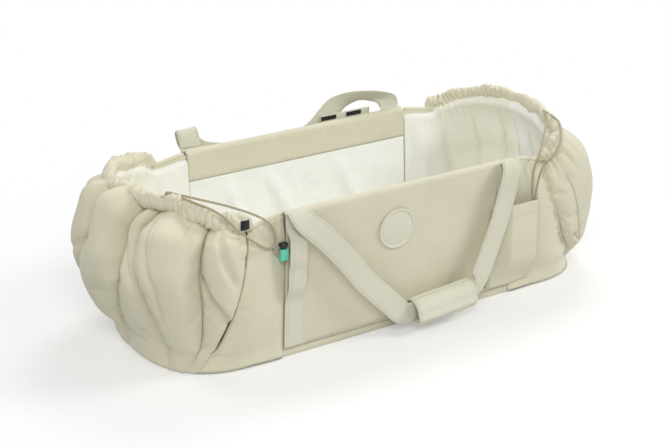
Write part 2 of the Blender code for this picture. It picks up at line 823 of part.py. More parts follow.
def make_label(parts):
    """A small blank label sewn beside the start of the left hem."""
    angle = end_angle(0.252, END_TOP_SEAM_Z)
    hem = sided(rim_path(-angle, HEM_LIFT), -1)
    place = (hem.x, hem.y - HEM_RADIUS - HEM_RUFFLE - 0.0024, hem.z + 0.003)
    bpy.ops.mesh.primitive_cube_add(size=1, location=place)
    tab = bpy.context.object
    tab.data.transform(Matrix.Diagonal((LABEL_SIDE, LABEL_THICK, LABEL_SIDE, 1)))
    finish(tab, "label", parts, material("black_label", (0.02, 0.02, 0.02, 1.0), 0.8))


def make_band(name, path, sides, widths, rows, parts):
    """A strap swept along a path; at each point it is wide along its side vector."""
    def place(u, v):
        across = through(sides, v).normalized()
        return through(path, v) + across * (through(widths, v) * (u - 0.5))

    return mapped_sheet(name, 2, rows, place, STRAP_THICK, Vector((0, 0, 0.1)), parts, webbing(),
                        offset=0.0)


def grip_frame():
    """Origin, length direction and upward direction of the front grip."""
    along = (GRIP_RIGHT - GRIP_LEFT).normalized()
    forward = Vector((0, -1, 0))
    upward = forward.cross(along).normalized()
    return along, forward, upward


def grip_point(share, angle, radius):
    """A point of the front grip: share along it, angle from the front over the top."""
    along, forward, upward = grip_frame()
    middle = GRIP_LEFT.lerp(GRIP_RIGHT, share)
    return middle + (forward * cos(angle) + upward * sin(angle)) * radius


def make_front_grip(parts):
    """A sleeve sewn round the front strap, its flap and the tape that holds the flap."""
    middle = GRIP_LEFT.lerp(GRIP_RIGHT, 0.5)
    sleeve = mapped_sheet("front_grip_sleeve", 3, 13,
                          lambda u, v: grip_point(u, radians(mix(96, 330, v)), GRIP_BORE),
                          GRIP_SKIN, middle, parts, webbing())
    lifted = GRIP_BORE + GRIP_SKIN + TAPE_THICK + 2 * FIT

    def flap_radius(degrees):
        return mix(GRIP_BORE, lifted, ease((2 - degrees) / 26))

    flap = mapped_sheet("front_grip_flap", 3, 12,
                        lambda u, v: grip_point(u, radians(mix(90, -52, v)), flap_radius(mix(90, -52, v))),
                        GRIP_SKIN, middle, parts, webbing())
    tape = mapped_sheet("front_hook_tape", 2, 3,
                        lambda u, v: grip_point(mix(0.08, 0.92, u), radians(mix(-33, -50, v)),
                                                GRIP_BORE + GRIP_SKIN + FIT),
                        TAPE_THICK, middle, parts, hook_tape())
    hinge = hinge_empty("front_flap_hinge", grip_point(0.5, radians(93), GRIP_BORE + GRIP_SKIN), [flap])
    return sleeve, tape, hinge


def make_front_handle(parts):
    """The front carry handle, hanging in front of the wall."""
    top = Vector((0, -HINGE_Y, HINGE_Z))
    corners = ((-ANCHOR_X, -HINGE_Y, HINGE_Z), (-0.1750, -0.1540, 0.2150),
               (-0.1745, -0.1590, 0.2110), (-0.1680, -0.1640, 0.2015),
               (-0.156, -0.1655, 0.190), (-0.140, -0.1662, 0.174), (-0.120, -0.1655, 0.151),
               (-0.100, -0.165, 0.1265), (-0.080, -0.1643, 0.100), (-0.058, -0.164, 0.076),
               (-0.036, -0.164, 0.0535), (-0.019, -0.164, 0.0355), (-0.009, -0.164, 0.0304),
               (0.000, -0.164, 0.0310), (0.034, -0.164, 0.03336), (0.068, -0.164, 0.0357),
               (0.101, -0.164, 0.0380), (0.110, -0.164, 0.0386), (0.1215, -0.164, 0.060),
               (0.1325, -0.164, 0.086), (0.144, -0.164, 0.115), (0.154, -0.1645, 0.144),
               (0.1600, -0.165, 0.168), (0.1655, -0.1655, 0.188),
               (0.1705, -0.1640, 0.2015), (0.1745, -0.1590, 0.2110),
               (0.1750, -0.1540, 0.2150), (ANCHOR_X, -HINGE_Y, HINGE_Z))
    path = [Vector(corner) for corner in corners]
    last = len(path) - 1
    sides = []
    widths = []
    for index, point in enumerate(path):
        along = path[min(index + 1, last)] - path[max(index - 1, 0)]
        facing = Vector((0, -abs(along.z), abs(along.y)))
        across = facing.cross(along).normalized()
        beside_grip = GRIP_LEFT.x - GRIP_LEAD <= point.x <= GRIP_RIGHT.x + GRIP_LEAD
        inside_grip = beside_grip and point.z < GRIP_CEILING
        if inside_grip:
            _, _, across = grip_frame()
        sides.append(across)
        widths.append(2 * GRIP_BORE - 4 * FIT if inside_grip else STRAP_WIDTH)
    strap = make_band("front_handle_strap", path, sides, widths, 44, parts)
    sleeve, tape, flap_hinge = make_front_grip(parts)
    hinge_empty("front_handle_hinge", top, [strap, sleeve, tape, flap_hinge])


def make_rear_grip(parts):
    """The rear grip: a sleeve on the inner side of the strap, its flap on the outer side."""
    left, right = REAR_GRIP
    fold, flap_top, sleeve_top = REAR_GRIP_Z
    bore = STRAP_THICK / 2 + FIT
    turn = 6

    def sleeve_point(u, v):
        x = mix(left, right, u)
        place = v * (turn + 3)
        if place > turn:
            return Vector((x, REAR_GRIP_Y - bore, mix(fold, sleeve_top, (place - turn) / 3)))
        angle = mix(radians(-8), radians(-180), place / turn)
        return Vector((x, REAR_GRIP_Y + bore * cos(angle), fold + bore * sin(angle)))

    inside = Vector(((left + right) / 2, REAR_GRIP_Y, (fold + sleeve_top) / 2))
    sleeve = mapped_sheet("rear_grip_sleeve", 3, turn + 3, sleeve_point, GRIP_SKIN, inside, parts,
                          webbing())
    flap_low = fold + 0.0015
    flap = rounded_box("rear_grip_flap", (right - left, GRIP_SKIN, flap_top - flap_low),
                       ((left + right) / 2, REAR_GRIP_Y + bore + GRIP_SKIN / 2, (flap_low + flap_top) / 2),
                       0, 0.0005, parts, webbing())
    y = REAR_GRIP_Y - bore - GRIP_SKIN - FIT - TAPE_THICK / 2
    z = sleeve_top - REAR_TAPE_TALL / 2 - 0.001
    tapes = []
    for end, middle in zip(("left", "right"), REAR_TAPES):
        tapes.append(rounded_box("rear_" + end + "_hook_tape", (REAR_TAPE_LONG, TAPE_THICK, REAR_TAPE_TALL),
                                 (middle, y, z), 0, 0.0002, parts, hook_tape()))
    pivot = Vector((inside.x, REAR_GRIP_Y + bore + GRIP_SKIN, fold + 0.0006))
    return [sleeve, *tapes, hinge_empty("rear_flap_hinge", pivot, [flap])]


def make_rear_handle(parts):
    """The rear carry handle: folded over at the left, hanging behind, arched at the right."""
    stations = (
        ((-ANCHOR_X, HINGE_Y, ROOT_Z), (1, 0, 0)),
        ((-0.177, 0.152, 0.230), (1, 0, 0)),
        ((-0.177, 0.158, 0.239), (1, 0, 0)),
        ((-0.175, 0.166, 0.236), (1, 0, 0.15)),
        ((-0.168, 0.171, 0.222), (0.9, 0, 0.4)),
        ((-0.150, 0.172, 0.205), (0.6, 0, 0.75)),
        ((-0.110, 0.170, 0.191), (0.25, 0, 0.95)),
        ((-0.070, 0.168, 0.185), (0.1, 0, 1)),
        ((-0.030, 0.166, 0.183), (0, 0, 1)),
        ((0.005, 0.166, 0.183), (-0.1, 0, 1)),
        ((0.032, 0.166, 0.189), (-0.4, 0, 0.9)),
        ((0.050, 0.166, 0.199), (-0.6, 0, 0.8)),
        ((0.064, 0.166, 0.212), (-0.6, 0, 0.8)),
        ((0.081, 0.1661, 0.2255), (-0.5, -0.05, 0.86)),
        ((0.104, 0.1640, 0.2350), (-0.25, -0.45, 0.8)),
        ((0.130, 0.158, 0.2385), (0.1, -0.72, 0.62)),
        ((0.153, 0.155, 0.2345), (0.5, -0.6, 0.45)),
        ((0.170, 0.152, 0.227), (0.9, -0.2, 0.2)),
        ((ANCHOR_X, HINGE_Y, ROOT_Z), (1, 0, 0)),
    )
    path = [Vector(place) for place, _ in stations]
    sides = [Vector(across).normalized() for _, across in stations]
    strap = make_band("rear_handle_strap", path, sides, [STRAP_WIDTH] * len(path), 46, parts)
    hinge_empty("rear_handle_hinge", Vector((0, HINGE_Y, HINGE_Z)), [strap, *make_rear_grip(parts)])


def make_lock(end, side, foot, parts, cutters):
    """A spring cord lock: barrel, pressed plunger and its spring."""
    place = sided(foot, side)
    barrel = rounded_box(end + "_cord_lock", (LOCK_WIDE, LOCK_DEEP, LOCK_TALL),
                         place + Vector((0, 0, LOCK_TALL / 2)), 0, 0.0012, parts, mint_plastic())
    slot_half = CORD_RADIUS + FIT
    slot_middle = (LOCK_SLOT[0] + LOCK_SLOT[1]) / 2
    slot_tall = LOCK_SLOT[1] - LOCK_SLOT[0]
    bpy.ops.mesh.primitive_cylinder_add(vertices=20, radius=LOCK_BORE, depth=LOCK_TALL,
                                        location=place + Vector((0, 0, LOCK_FLOOR + LOCK_TALL / 2)))
    bore = bpy.context.object
    bore.name = end + "_lock_bore_cutter"
    cut(barrel, bore, cutters)
    bpy.ops.mesh.primitive_cube_add(size=1, location=place + Vector((0, 0, slot_middle)))
    slot = bpy.context.object
    slot.name = end + "_lock_slot_cutter"
    slot.data.transform(Matrix.Diagonal((LOCK_WIDE * 1.5, 2 * slot_half, slot_tall, 1)))
    cut(barrel, slot, cutters)

    shank_radius = LOCK_BORE - 0.0003
    shank_tall = HEAD_BOTTOM + HEAD_TALL - SHANK_BOTTOM
    shank_depth = shank_tall - 0.001
    shank_middle = place + Vector((0, 0, SHANK_BOTTOM + shank_depth / 2))
    bpy.ops.mesh.primitive_cylinder_add(vertices=20, radius=shank_radius, depth=shank_depth,
                                        location=shank_middle)
    plunger = bpy.context.object
    bpy.ops.mesh.primitive_cube_add(size=1, location=place + Vector((0, 0, HEAD_BOTTOM + HEAD_TALL / 2)))
    head = bpy.context.object
    head.name = end + "_plunger_head_cutter"
    head.data.transform(Matrix.Diagonal((LOCK_WIDE - 0.001, LOCK_DEEP - 0.001, HEAD_TALL, 1)))
    rounding = head.modifiers.new("Edges", "BEVEL")
    rounding.width = 0.0014
    rounding.segments = 2
    cut(plunger, head, cutters, "UNION")
    bpy.ops.mesh.primitive_cube_add(size=1, location=place)
    window = bpy.context.object
    window.name = end + "_plunger_slot_cutter"
    window_tall = slot_tall + PLUNGER_TRAVEL
    window.location.z += LOCK_SLOT[0] + window_tall / 2
    window.data.transform(Matrix.Diagonal((LOCK_WIDE, 2 * slot_half, window_tall, 1)))
    cut(plunger, window, cutters)
    finish(plunger, end + "_lock_plunger", parts, black_plastic())

    coil_radius = LOCK_BORE - SPRING_WIRE - FIT - 0.0003
    low = LOCK_FLOOR + SPRING_WIRE + 0.0002
    high = SHANK_BOTTOM - SPRING_WIRE - 0.0002
    steps = round(9 * SPRING_TURNS)
    coil = []
    for i in range(steps + 1):
        angle = 2 * pi * SPRING_TURNS * i / steps
        height = mix(low, high, i / steps)
        coil.append(place + Vector((coil_radius * cos(angle), coil_radius * sin(angle), height)))
    spring = cord_tube(end + "_lock_spring", coil, SPRING_WIRE, parts, spring_steel(), sides=0)
    plunger_hinge = hinge_empty(end + "_plunger_axis", place + Vector((0, 0, HEAD_BOTTOM)), [plunger])
    hinge_empty(end + "_lock_axis", place + Vector((0, 0, LOCK_TALL / 2)), [barrel, spring, plunger_hinge])


def hem_centre(side):
    return [sided(rim_path(angle, HEM_LIFT), side) for angle in rim_angles(96)]


def lifted_off(point, centre, distance):
    """The point pushed straight away from a hem's middle line where it is too close."""
    nearest = min(centre, key=lambda place: (place - point).length)
    gap = point - nearest
    if gap.length >= distance:
        return point
    return nearest + gap.normalized() * distance


def make_eyelet(end, side, parts):
    """A ring sewn on the hem, where the two strands come out."""
    middle = sided(rim_path(EYELET_ANGLE, HEM_LIFT), side)
    ahead = sided(rim_path(EYELET_ANGLE + 0.05, HEM_LIFT), side)
    along = (ahead - middle).normalized()
    inward = along.cross(Vector((0, 0, 1))) * side
    if inward.x * side > 0:
        inward = -inward
    facing = (inward * 0.45 + Vector((0, 0, 1))).normalized()
    facing = (facing - along * facing.dot(along)).normalized()
    seat = middle + facing * (HEM_RADIUS + HEM_RUFFLE + FIT)
    edge = 0.0005
    profile = [(EYELET_BORE, edge), (EYELET_BORE + edge, 0), (EYELET_RADIUS - edge, 0), (EYELET_RADIUS, edge),
               (EYELET_RADIUS, EYELET_THICK - edge), (EYELET_RADIUS - edge, EYELET_THICK),
               (EYELET_BORE + edge, EYELET_THICK), (EYELET_BORE, EYELET_THICK - edge)]
    turned(end + "_cord_eyelet", profile, seat, facing.to_track_quat("Z", "Y"), 14, parts, webbing())
    return seat, facing, along


def make_draw_cord(end, side, foot, upper, lower, tail_back, parts):
    """One cord: out of the eyelet, through the lock, round its tail and back to the eyelet."""
    seat, facing, along = make_eyelet(end, side, parts)
    if along.y > 0:
        along = -along
    spread = along * (CORD_RADIUS + 0.0002)
    start = seat + facing * 0.0003
    centre = hem_centre(side)
    clear = HEM_RADIUS + HEM_RUFFLE + CORD_RADIUS + 0.0006
    strands = []
    for offset, way, height in ((-spread, upper, CORD_HEIGHTS[0]), (spread, lower, CORD_HEIGHTS[1])):
        face_x = foot.x + LOCK_WIDE / 2
        z = foot.z + height
        middle = [sided(Vector(point), side) for point in way]
        curl = 0.0045 if height == CORD_HEIGHTS[0] else 0.0080
        entry = [Vector((face_x + curl, foot.y, z + curl + 0.004)),
                 Vector((face_x + curl * 0.8, foot.y, z + curl * 0.35)),
                 Vector((face_x + curl * 0.4, foot.y, z + curl * 0.05)),
                 Vector((face_x + 0.0006, foot.y, z)),
                 Vector((face_x - 0.0005, foot.y, z))]
        entry = [sided(point, side) for point in entry]
        rise = [start + offset, start + offset + facing * 0.0028,
                start + offset * 1.25 + facing * 0.0062 - Vector((side * 0.002, 0.002, 0))]
        route = spaced(rise[2:] + middle + entry[:1], CORD_STATION)
        strands.append(rise[:2] + [lifted_off(point, centre, clear) for point in route] + entry[1:])
    straight_end = foot.x - LOCK_WIDE / 2 - LOCK_SLIDE
    turn_z = foot.z + CORD_HEIGHTS[0] - 0.0088
    low_z = turn_z - 0.026
    tail = []
    outer = 0.0088
    inner = outer - (CORD_HEIGHTS[0] - CORD_HEIGHTS[1])
    for i in range(6):
        angle = pi / 2 * i / 5
        tail.append(Vector((straight_end - outer * sin(angle), foot.y, turn_z + outer * cos(angle))))
    middle_x = straight_end - (outer + inner) / 2
    loop = 0.0042
    for i in range(9):
        angle = radians(mix(-20, 200, i / 8))
        tail.append(Vector((middle_x - loop * cos(angle), foot.y, low_z - 0.009 - loop * sin(angle))))
    for i in range(5, -1, -1):
        angle = pi / 2 * i / 5
        tail.append(Vector((straight_end - inner * sin(angle), foot.y, turn_z + inner * cos(angle))))
    lean = (RIM_HALF_WIDTH - FOOT_HALF_WIDTH) / (RIM_Z - BAND_Z)
    for point in tail:
        fall = max(0.0, turn_z + inner - point.z)
        point.y += fall * lean + tail_back * ease(fall / 0.012)
    tail = [sided(point, side) for point in tail]
    points = strands[0] + tail + strands[1][::-1]
    cord_tube(end + "_draw_cord", points, CORD_RADIUS, parts, webbing(), sides=2)


def hung(x, z, out=0.0):
    """A place for a strand just outside the front face, x measured towards its own end."""
    return (x, -(front_face_y(x, min(z, RIM_Z - 0.012)) + CORD_RADIUS + 0.0008 + out), z)


def make_cords(parts, cutters):
    make_lock("left", -1, LEFT_LOCK, parts, cutters)
    make_lock("right", 1, RIGHT_LOCK, parts, cutters)
    left_upper = ((0.290, -0.092, 0.238), (0.262, -0.122, 0.232), (0.236, -0.145, 0.222),
                  hung(0.221, 0.211, 0.002), hung(0.212, 0.197, 0.002))
    left_lower = ((0.302, -0.104, 0.240), (0.291, -0.130, 0.237), (0.281, -0.150, 0.229),
                  (0.268, -0.159, 0.212), hung(0.246, 0.192, 0.004), hung(0.226, 0.177, 0.002))
    make_draw_cord("left", -1, LEFT_LOCK, left_upper, left_lower, 0.0, parts)
    right_upper = ((0.292, -0.092, 0.240), (0.264, -0.120, 0.234), (0.241, -0.142, 0.224),
                   hung(0.227, 0.211, 0.002), hung(0.2205, 0.195, 0.001), hung(0.2185, 0.170, 0.001),
                   hung(0.2180, 0.150, 0.003))
    right_lower = ((0.302, -0.104, 0.240), (0.286, -0.130, 0.236), (0.268, -0.151, 0.226),
                   (0.250, -0.158, 0.211), hung(0.235, 0.195, 0.003), hung(0.226, 0.170, 0.001),
                   hung(0.2222, 0.150, 0.003))
    make_draw_cord("right", 1, RIGHT_LOCK, right_upper, right_lower, 0.003, parts)


def main():
    clear_scene()
    parts = new_collection("baby_sleep_carrier")
    cutters = new_collection("cutters")
    table = even_angles()
    make_base(parts, cutters)
    make_mattress(parts)
    make_wall("front", -1, parts)
    make_wall("rear", 1, parts)
    for side, end in ((-1, "left"), (1, "right")):
        for face, row in ((-1, "front"), (1, "rear")):
            make_side_panel(row + "_" + end + "_side_panel", side, face, parts)
            pouch = (side, face) == (-1, -1)
            make_anchor_strap(row + "_" + end + "_anchor_strap", side, face,
                              left_pouch if pouch else flat_strap, 16 if pouch else 7, parts)
        make_end_shell(end + "_end_shell", side, crease_positions(), table, parts)
        make_end_lining(end + "_end_lining", side, table, parts)
        make_hem(end, side, parts)
    make_pocket(parts)
    make_badge(parts)
    make_label(parts)
    make_front_handle(parts)
    make_rear_handle(parts)
    make_cords(parts, cutters)


main()
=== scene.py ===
import json
from bisect import bisect_left
from functools import partial
from math import acos, atan2, cos, exp, pi, radians, sin
from random import Random

import bmesh
import bpy
from mathutils import Matrix, Vector, noise

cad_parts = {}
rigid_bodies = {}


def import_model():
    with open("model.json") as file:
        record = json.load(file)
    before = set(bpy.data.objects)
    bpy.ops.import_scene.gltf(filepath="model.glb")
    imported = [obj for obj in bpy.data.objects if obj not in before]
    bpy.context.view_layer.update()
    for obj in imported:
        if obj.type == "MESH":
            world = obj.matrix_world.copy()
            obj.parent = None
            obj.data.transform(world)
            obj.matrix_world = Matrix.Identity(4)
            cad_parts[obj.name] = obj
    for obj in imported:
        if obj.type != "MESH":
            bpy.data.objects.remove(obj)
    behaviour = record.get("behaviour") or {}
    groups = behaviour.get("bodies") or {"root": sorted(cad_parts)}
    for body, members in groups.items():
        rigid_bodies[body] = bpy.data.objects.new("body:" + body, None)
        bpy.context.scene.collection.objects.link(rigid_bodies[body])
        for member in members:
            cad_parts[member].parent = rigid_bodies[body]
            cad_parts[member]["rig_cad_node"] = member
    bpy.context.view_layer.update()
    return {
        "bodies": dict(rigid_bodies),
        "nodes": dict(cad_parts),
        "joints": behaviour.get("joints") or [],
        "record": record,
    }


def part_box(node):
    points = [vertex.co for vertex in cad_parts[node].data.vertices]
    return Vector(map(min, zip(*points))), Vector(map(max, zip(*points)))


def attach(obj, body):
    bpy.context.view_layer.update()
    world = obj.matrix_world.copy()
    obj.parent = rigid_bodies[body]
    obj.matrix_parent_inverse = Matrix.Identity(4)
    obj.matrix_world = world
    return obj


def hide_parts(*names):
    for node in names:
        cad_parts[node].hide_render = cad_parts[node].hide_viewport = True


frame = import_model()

# %% [markdown]
# # Baby sleep carrier
# A soft lie-flat carrier for a newborn. Two stiff side walls stand on a flat base, and both ends are
# padded cloth that a drawn cord gathers into fat puffs. The CAD model gives every piece its place, and
# this script dresses it: each soft solid is replaced by a finer cloth form that lies where the solid is.

# %% [markdown]
# ## Camera
# The camera stands where the photographer stood: a little above the front left corner, with a long lens.
# The height, the angle and the lens were fitted to the outline of the real carrier.

# %% Camera
LOOK_AT = Vector((0, 0, 0.1))
AZIMUTH = radians(-33.0)
ELEVATION = radians(22.6)
DISTANCE = 2.16
SENSOR_WIDTH = 36
LENS = 79.2
SHIFT_X = -0.0191
SHIFT_Y = 0.0058


def placed(name, data):
    """A new object of this data, linked into the scene."""
    made = bpy.data.objects.new(name, data)
    bpy.context.scene.collection.objects.link(made)
    return made


towards_camera = Vector((sin(AZIMUTH) * cos(ELEVATION), -cos(AZIMUTH) * cos(ELEVATION), sin(ELEVATION)))
camera_data = bpy.data.cameras.new("photo_view")
camera_data.sensor_width = SENSOR_WIDTH
camera_data.lens = LENS
camera_data.shift_x = SHIFT_X
camera_data.shift_y = SHIFT_Y
camera = placed("photo_view", camera_data)
camera.location = LOOK_AT + towards_camera * DISTANCE
camera.rotation_euler = (-towards_camera).to_track_quat("-Z", "Y").to_euler()
bpy.context.scene.camera = camera
bpy.context.scene.view_settings.view_transform = "Standard"
print("camera at", [round(v, 3) for v in camera.location])

# %% [markdown]
# ## Small helpers
# Cloth forms are built from a few smooth curves: an eased step, a mix of two values, and a curve that
# passes through given points. Each is one line of mathematics that the pieces below share.

# %% Curves and steps
def clamp(value, low=0.0, high=1.0):
    return max(low, min(high, value))


def mix(a, b, t):
    return a + (b - a) * t


def ease(t):
    t = clamp(t)
    return t * t * (3 - 2 * t)


def plateau(value, start, full_from, full_to, end):
    """0 outside start and end, 1 between full_from and full_to, and eased in between."""
    return min(ease((value - start) / (full_from - start)), ease((end - value) / (end - full_to)))


def signed_power(value, power):
    return abs(value) ** power * (1 if value >= 0 else -1)


def through(values, t):
    """A smooth curve through evenly spaced values or vectors, t from 0 to 1."""
    spans = len(values) - 1
    index = min(int(clamp(t) * spans), spans - 1)
    f = clamp(t) * spans - index
    p1 = values[index]
    p2 = values[index + 1]
    p0 = values[index - 1] if index > 0 else p1 + (p1 - p2)
    p3 = values[index + 2] if index + 2 <= spans else p2 + (p2 - p1)
    return (p1 * 2 + (p2 - p0) * f + (p0 * 2 - p1 * 5 + p2 * 4 - p3) * f * f
            + (p1 * 3 - p0 - p2 * 3 + p3) * f * f * f) * 0.5


def on_line(pairs, place):
    """The value at a place on a line through (place, value) pairs."""
    for (a, va), (b, vb) in zip(pairs, pairs[1:]):
        if place <= b:
            return mix(va, vb, clamp((place - a) / (b - a)))
    return pairs[-1][1]


def sided(point, side):
    """The same point on the left end, side -1, or on the right one, side 1."""
    return Vector((point.x * side, point.y, point.z))


def path_length(points):
    return sum((b - a).length for a, b in zip(points, points[1:]))


def heading(points, t, step):
    """The direction in which a smooth curve runs at t."""
    return (through(points, min(1, t + step)) - through(points, max(0, t - step))).normalized()


# %% [markdown]
# ## The shape of the body
# The carrier's body is one shape from which all its cloth pieces take their place. Seen from above, each
# end is a squared-off ellipse whose reach and width change with the height. The walls lean out slightly.
# The numbers are those of the CAD source, so a piece lands on its solid without any fitting. Only the feet
# of the end seams are sewn nearer to the walls, as in the photograph.

# %% Body shape
ENDS = ((-1, "left"), (1, "right"))
WALLS = ((-1, "front"), (1, "rear"))
WALL_HALF = 0.190
FOOT_HALF_WIDTH = 0.1365
RIM_HALF_WIDTH = 0.148
RIM_Z = 0.215
WALL_THICK = 0.016
WALL_CROWN = 0.003
CUFF = 0.045
BAND_Z = 0.0125
BASE_REACH = 0.345
END_CORNER = 2.7
LEVELS_Z = (0.013, 0.213)
MIDDLE_Z = 0.093
SEAM_TOP_Z = 0.198
TIP_TOP_Z = 0.219
LEVELS_REACH = (0.325, 0.355, 0.371, 0.377, 0.368, 0.343)
LEVELS_WIDTH = (0.1235, 0.137, 0.144, 0.146, 0.142, 0.134)
SIDE_PAD = 0.0136
SIDE_PAD_EDGE = 0.009
HEM_LIFT = 0.0084
HEM_OUT = 0.0078
FIT = 0.0004
SEAM_GAP = 0.0008
GATHER_GAP = 0.0020
PANEL_DROP = 0.006
DRAWN_ANGLE = radians(-28)
DRAWN_SPREAD = radians(45)
DRAWN_DEPTH = 0.028
DRAWN_FROM_Z = 0.12


def wall_half_width(z):
    return mix(FOOT_HALF_WIDTH, RIM_HALF_WIDTH, (z - BAND_Z) / (RIM_Z - BAND_Z))


def wall_crown(x, z):
    along = clamp((x + WALL_HALF) / (2 * WALL_HALF))
    up = clamp((z - BAND_Z) / (RIM_Z - WALL_THICK / 2 - BAND_Z))
    return WALL_CROWN * sin(pi * along) ** 0.7 * sin(pi * up) ** 0.7


def level(values, z):
    return through(values, (z - LEVELS_Z[0]) / (LEVELS_Z[1] - LEVELS_Z[0]))


def drawn_in(angle, z):
    """How far the drawn cord pulls the rim in beside its eyelet."""
    beside = cos(pi / 2 * clamp(abs(angle - DRAWN_ANGLE) / DRAWN_SPREAD)) ** 2
    return DRAWN_DEPTH * beside * ease((z - DRAWN_FROM_Z) / 0.09)


def end_point(angle, z, inset=0.0):
    """A point on an end's inner face: angle 0 at the tip, plus or minus 90 degrees at the walls."""
    reach = level(LEVELS_REACH, z) - inset - drawn_in(angle, z)
    x = WALL_HALF + (reach - WALL_HALF) * abs(cos(angle)) ** (2 / END_CORNER)
    at_wall = wall_half_width(z) - SIDE_PAD - FIT
    half = mix(at_wall, level(LEVELS_WIDTH, z), ease((x - WALL_HALF) / 0.065))
    return Vector((x, (half - inset) * signed_power(sin(angle), 2 / END_CORNER), z))


def end_outward(angle, z):
    """The direction straight out of an end's face; square to the wall where they meet."""
    step = 0.01
    along = end_point(min(angle + step, pi / 2), z) - end_point(max(angle - step, -pi / 2), z)
    square_at_wall = ease((end_point(angle, z).x - WALL_HALF) / 0.03)
    return Vector((along.y * square_at_wall, -along.x, 0)).normalized()


def end_angle(x, z):
    """The angle at which an end's face has that x."""
    share = clamp((x - WALL_HALF) / (level(LEVELS_REACH, z) - WALL_HALF))
    return acos(share ** (END_CORNER / 2))


SEAM_START_X = 0.243
SEAM_START_Z = 0.197
SEAM_FALL = 0.160


def seam_x(z, side=-1):
    """Where the gathers are sewn to the side panel: the seam runs outwards as it comes down."""
    fall = max(0.0, (SEAM_START_Z - z) / SEAM_FALL)
    run = 0.040 * fall ** 1.1 + 0.06 * max(0.0, fall - 1) if side < 0 else 0.066 * fall ** 1.5
    return min(SEAM_START_X + run, level(LEVELS_REACH, z) - 0.012)


def end_top_z(angle):
    return mix(SEAM_TOP_Z, TIP_TOP_Z, ease(cos(angle) * 1.15))


TOP_SEAM_X = seam_x(SEAM_TOP_Z)
TOP_SEAM_ANGLE = end_angle(TOP_SEAM_X, SEAM_TOP_Z)


def rim_top(angle):
    """Top of the pads at an angle: the side panel's edge, then the gathered rim."""
    x = end_point(angle, SEAM_TOP_Z).x
    if x < TOP_SEAM_X:
        over = ease((x - WALL_HALF) / (TOP_SEAM_X - WALL_HALF))
        return mix(RIM_Z - PANEL_DROP, end_top_z(TOP_SEAM_ANGLE), over) + 0.0015
    return end_top_z(angle) + 0.0015 + 0.0065 * ease((x - TOP_SEAM_X) / 0.02)


def rim_path(angle, z_above):
    """A point of the hem's middle line, that far above the pads' top."""
    z = end_top_z(angle)
    point = end_point(angle, z, inset=-HEM_OUT)
    return Vector((point.x, point.y, z + z_above))


NEAREST_ANGLE = radians(15)
HALVINGS = 24


def front_face_y(x, z):
    """Distance from the middle plane to the outer face of a wall or side panel, found by halving."""
    on_wall = wall_half_width(z) + (wall_crown(x, z) if abs(x) < WALL_HALF else 0)
    if abs(x) <= WALL_HALF:
        return on_wall
    near, far = NEAREST_ANGLE, pi / 2
    for _ in range(HALVINGS):
        angle = (near + far) / 2
        point = end_point(angle, z) + end_outward(angle, z) * SIDE_PAD
        near, far = (angle, far) if point.x > abs(x) else (near, angle)
    return max(point.y, on_wall if abs(x) < WALL_HALF + 0.006 else 0)


STEPS = 240
ANGLES = [pi / 2 * i / STEPS for i in range(STEPS + 1)]
LENGTHS = [0.0]
for turn, after in zip(ANGLES, ANGLES[1:]):
    LENGTHS.append(LENGTHS[-1] + (end_point(after, MIDDLE_Z) - end_point(turn, MIDDLE_Z)).length)
SHARES = [length / LENGTHS[-1] for length in LENGTHS]


def angle_at(share):
    """The angle at a share of the way from the tip to a wall; negative shares are the front."""
    goal = clamp(abs(share))
    index = max(1, min(bisect_left(SHARES, goal), STEPS))
    t = (goal - SHARES[index - 1]) / (SHARES[index] - SHARES[index - 1])
    return mix(ANGLES[index - 1], ANGLES[index], t) * (1 if share >= 0 else -1)


def share_at(angle):
    place = clamp(abs(angle) / (pi / 2)) * STEPS
    index = min(int(place), STEPS - 1)
    return mix(SHARES[index], SHARES[index + 1], place - index) * (1 if angle >= 0 else -1)


print("one end is", round(2 * LENGTHS[-1], 3), "m round from wall to wall")

# %% [markdown]
# ## Finishes
# The cloth is a plain-woven cotton, so its finish is a weave of two crossing waves in real millimetres,
# with uneven threads, a slightly mottled dye, a painted shade between the threads and a soft nap. Every
# woven piece below gets a UV map in metres, so the threads keep their size and follow the surface. The
# colours were read from the evenly lit parts of the carrier.

# %% Finish helpers
def shade(red, green, blue):
    """A colour from its 0 to 255 screen values."""
    screen = [value / 255 for value in (red, green, blue)]
    return (*[c / 12.92 if c < 11 / 255 else ((c + 0.055) / 1.055) ** 2.4 for c in screen], 1)


def new_finish(name, roughness, sheen=0.0, metallic=0.0, specular=0.5):
    made = bpy.data.materials.new(name)
    made.use_nodes = True
    shader = made.node_tree.nodes["Principled BSDF"]
    shader.inputs["Roughness"].default_value = roughness
    shader.inputs["Sheen Weight"].default_value = sheen
    shader.inputs["Metallic"].default_value = metallic
    shader.inputs["Specular IOR Level"].default_value = specular
    return made, made.node_tree, shader


def add(tree, kind, **settings):
    made = tree.nodes.new("ShaderNode" + kind)
    for key, value in settings.items():
        setattr(made, key, value)
    return made


def maths(tree, operation, first, second=0.0):
    made = add(tree, "Math", operation=operation)
    for socket, value in zip(made.inputs, (first, second)):
        if isinstance(value, (int, float)):
            socket.default_value = value
        else:
            tree.links.new(value, socket)
    return made.outputs[0]


def coordinates(tree, kind, scale=1.0, turn=0.0):
    """The piece's UV map in metres or its object coordinates, scaled and turned."""
    source = add(tree, "TexCoord")
    mapping = add(tree, "Mapping")
    mapping.inputs["Scale"].default_value = (scale, scale, scale)
    mapping.inputs["Rotation"].default_value = (0, 0, turn)
    tree.links.new(source.outputs[kind], mapping.inputs["Vector"])
    return mapping.outputs["Vector"]


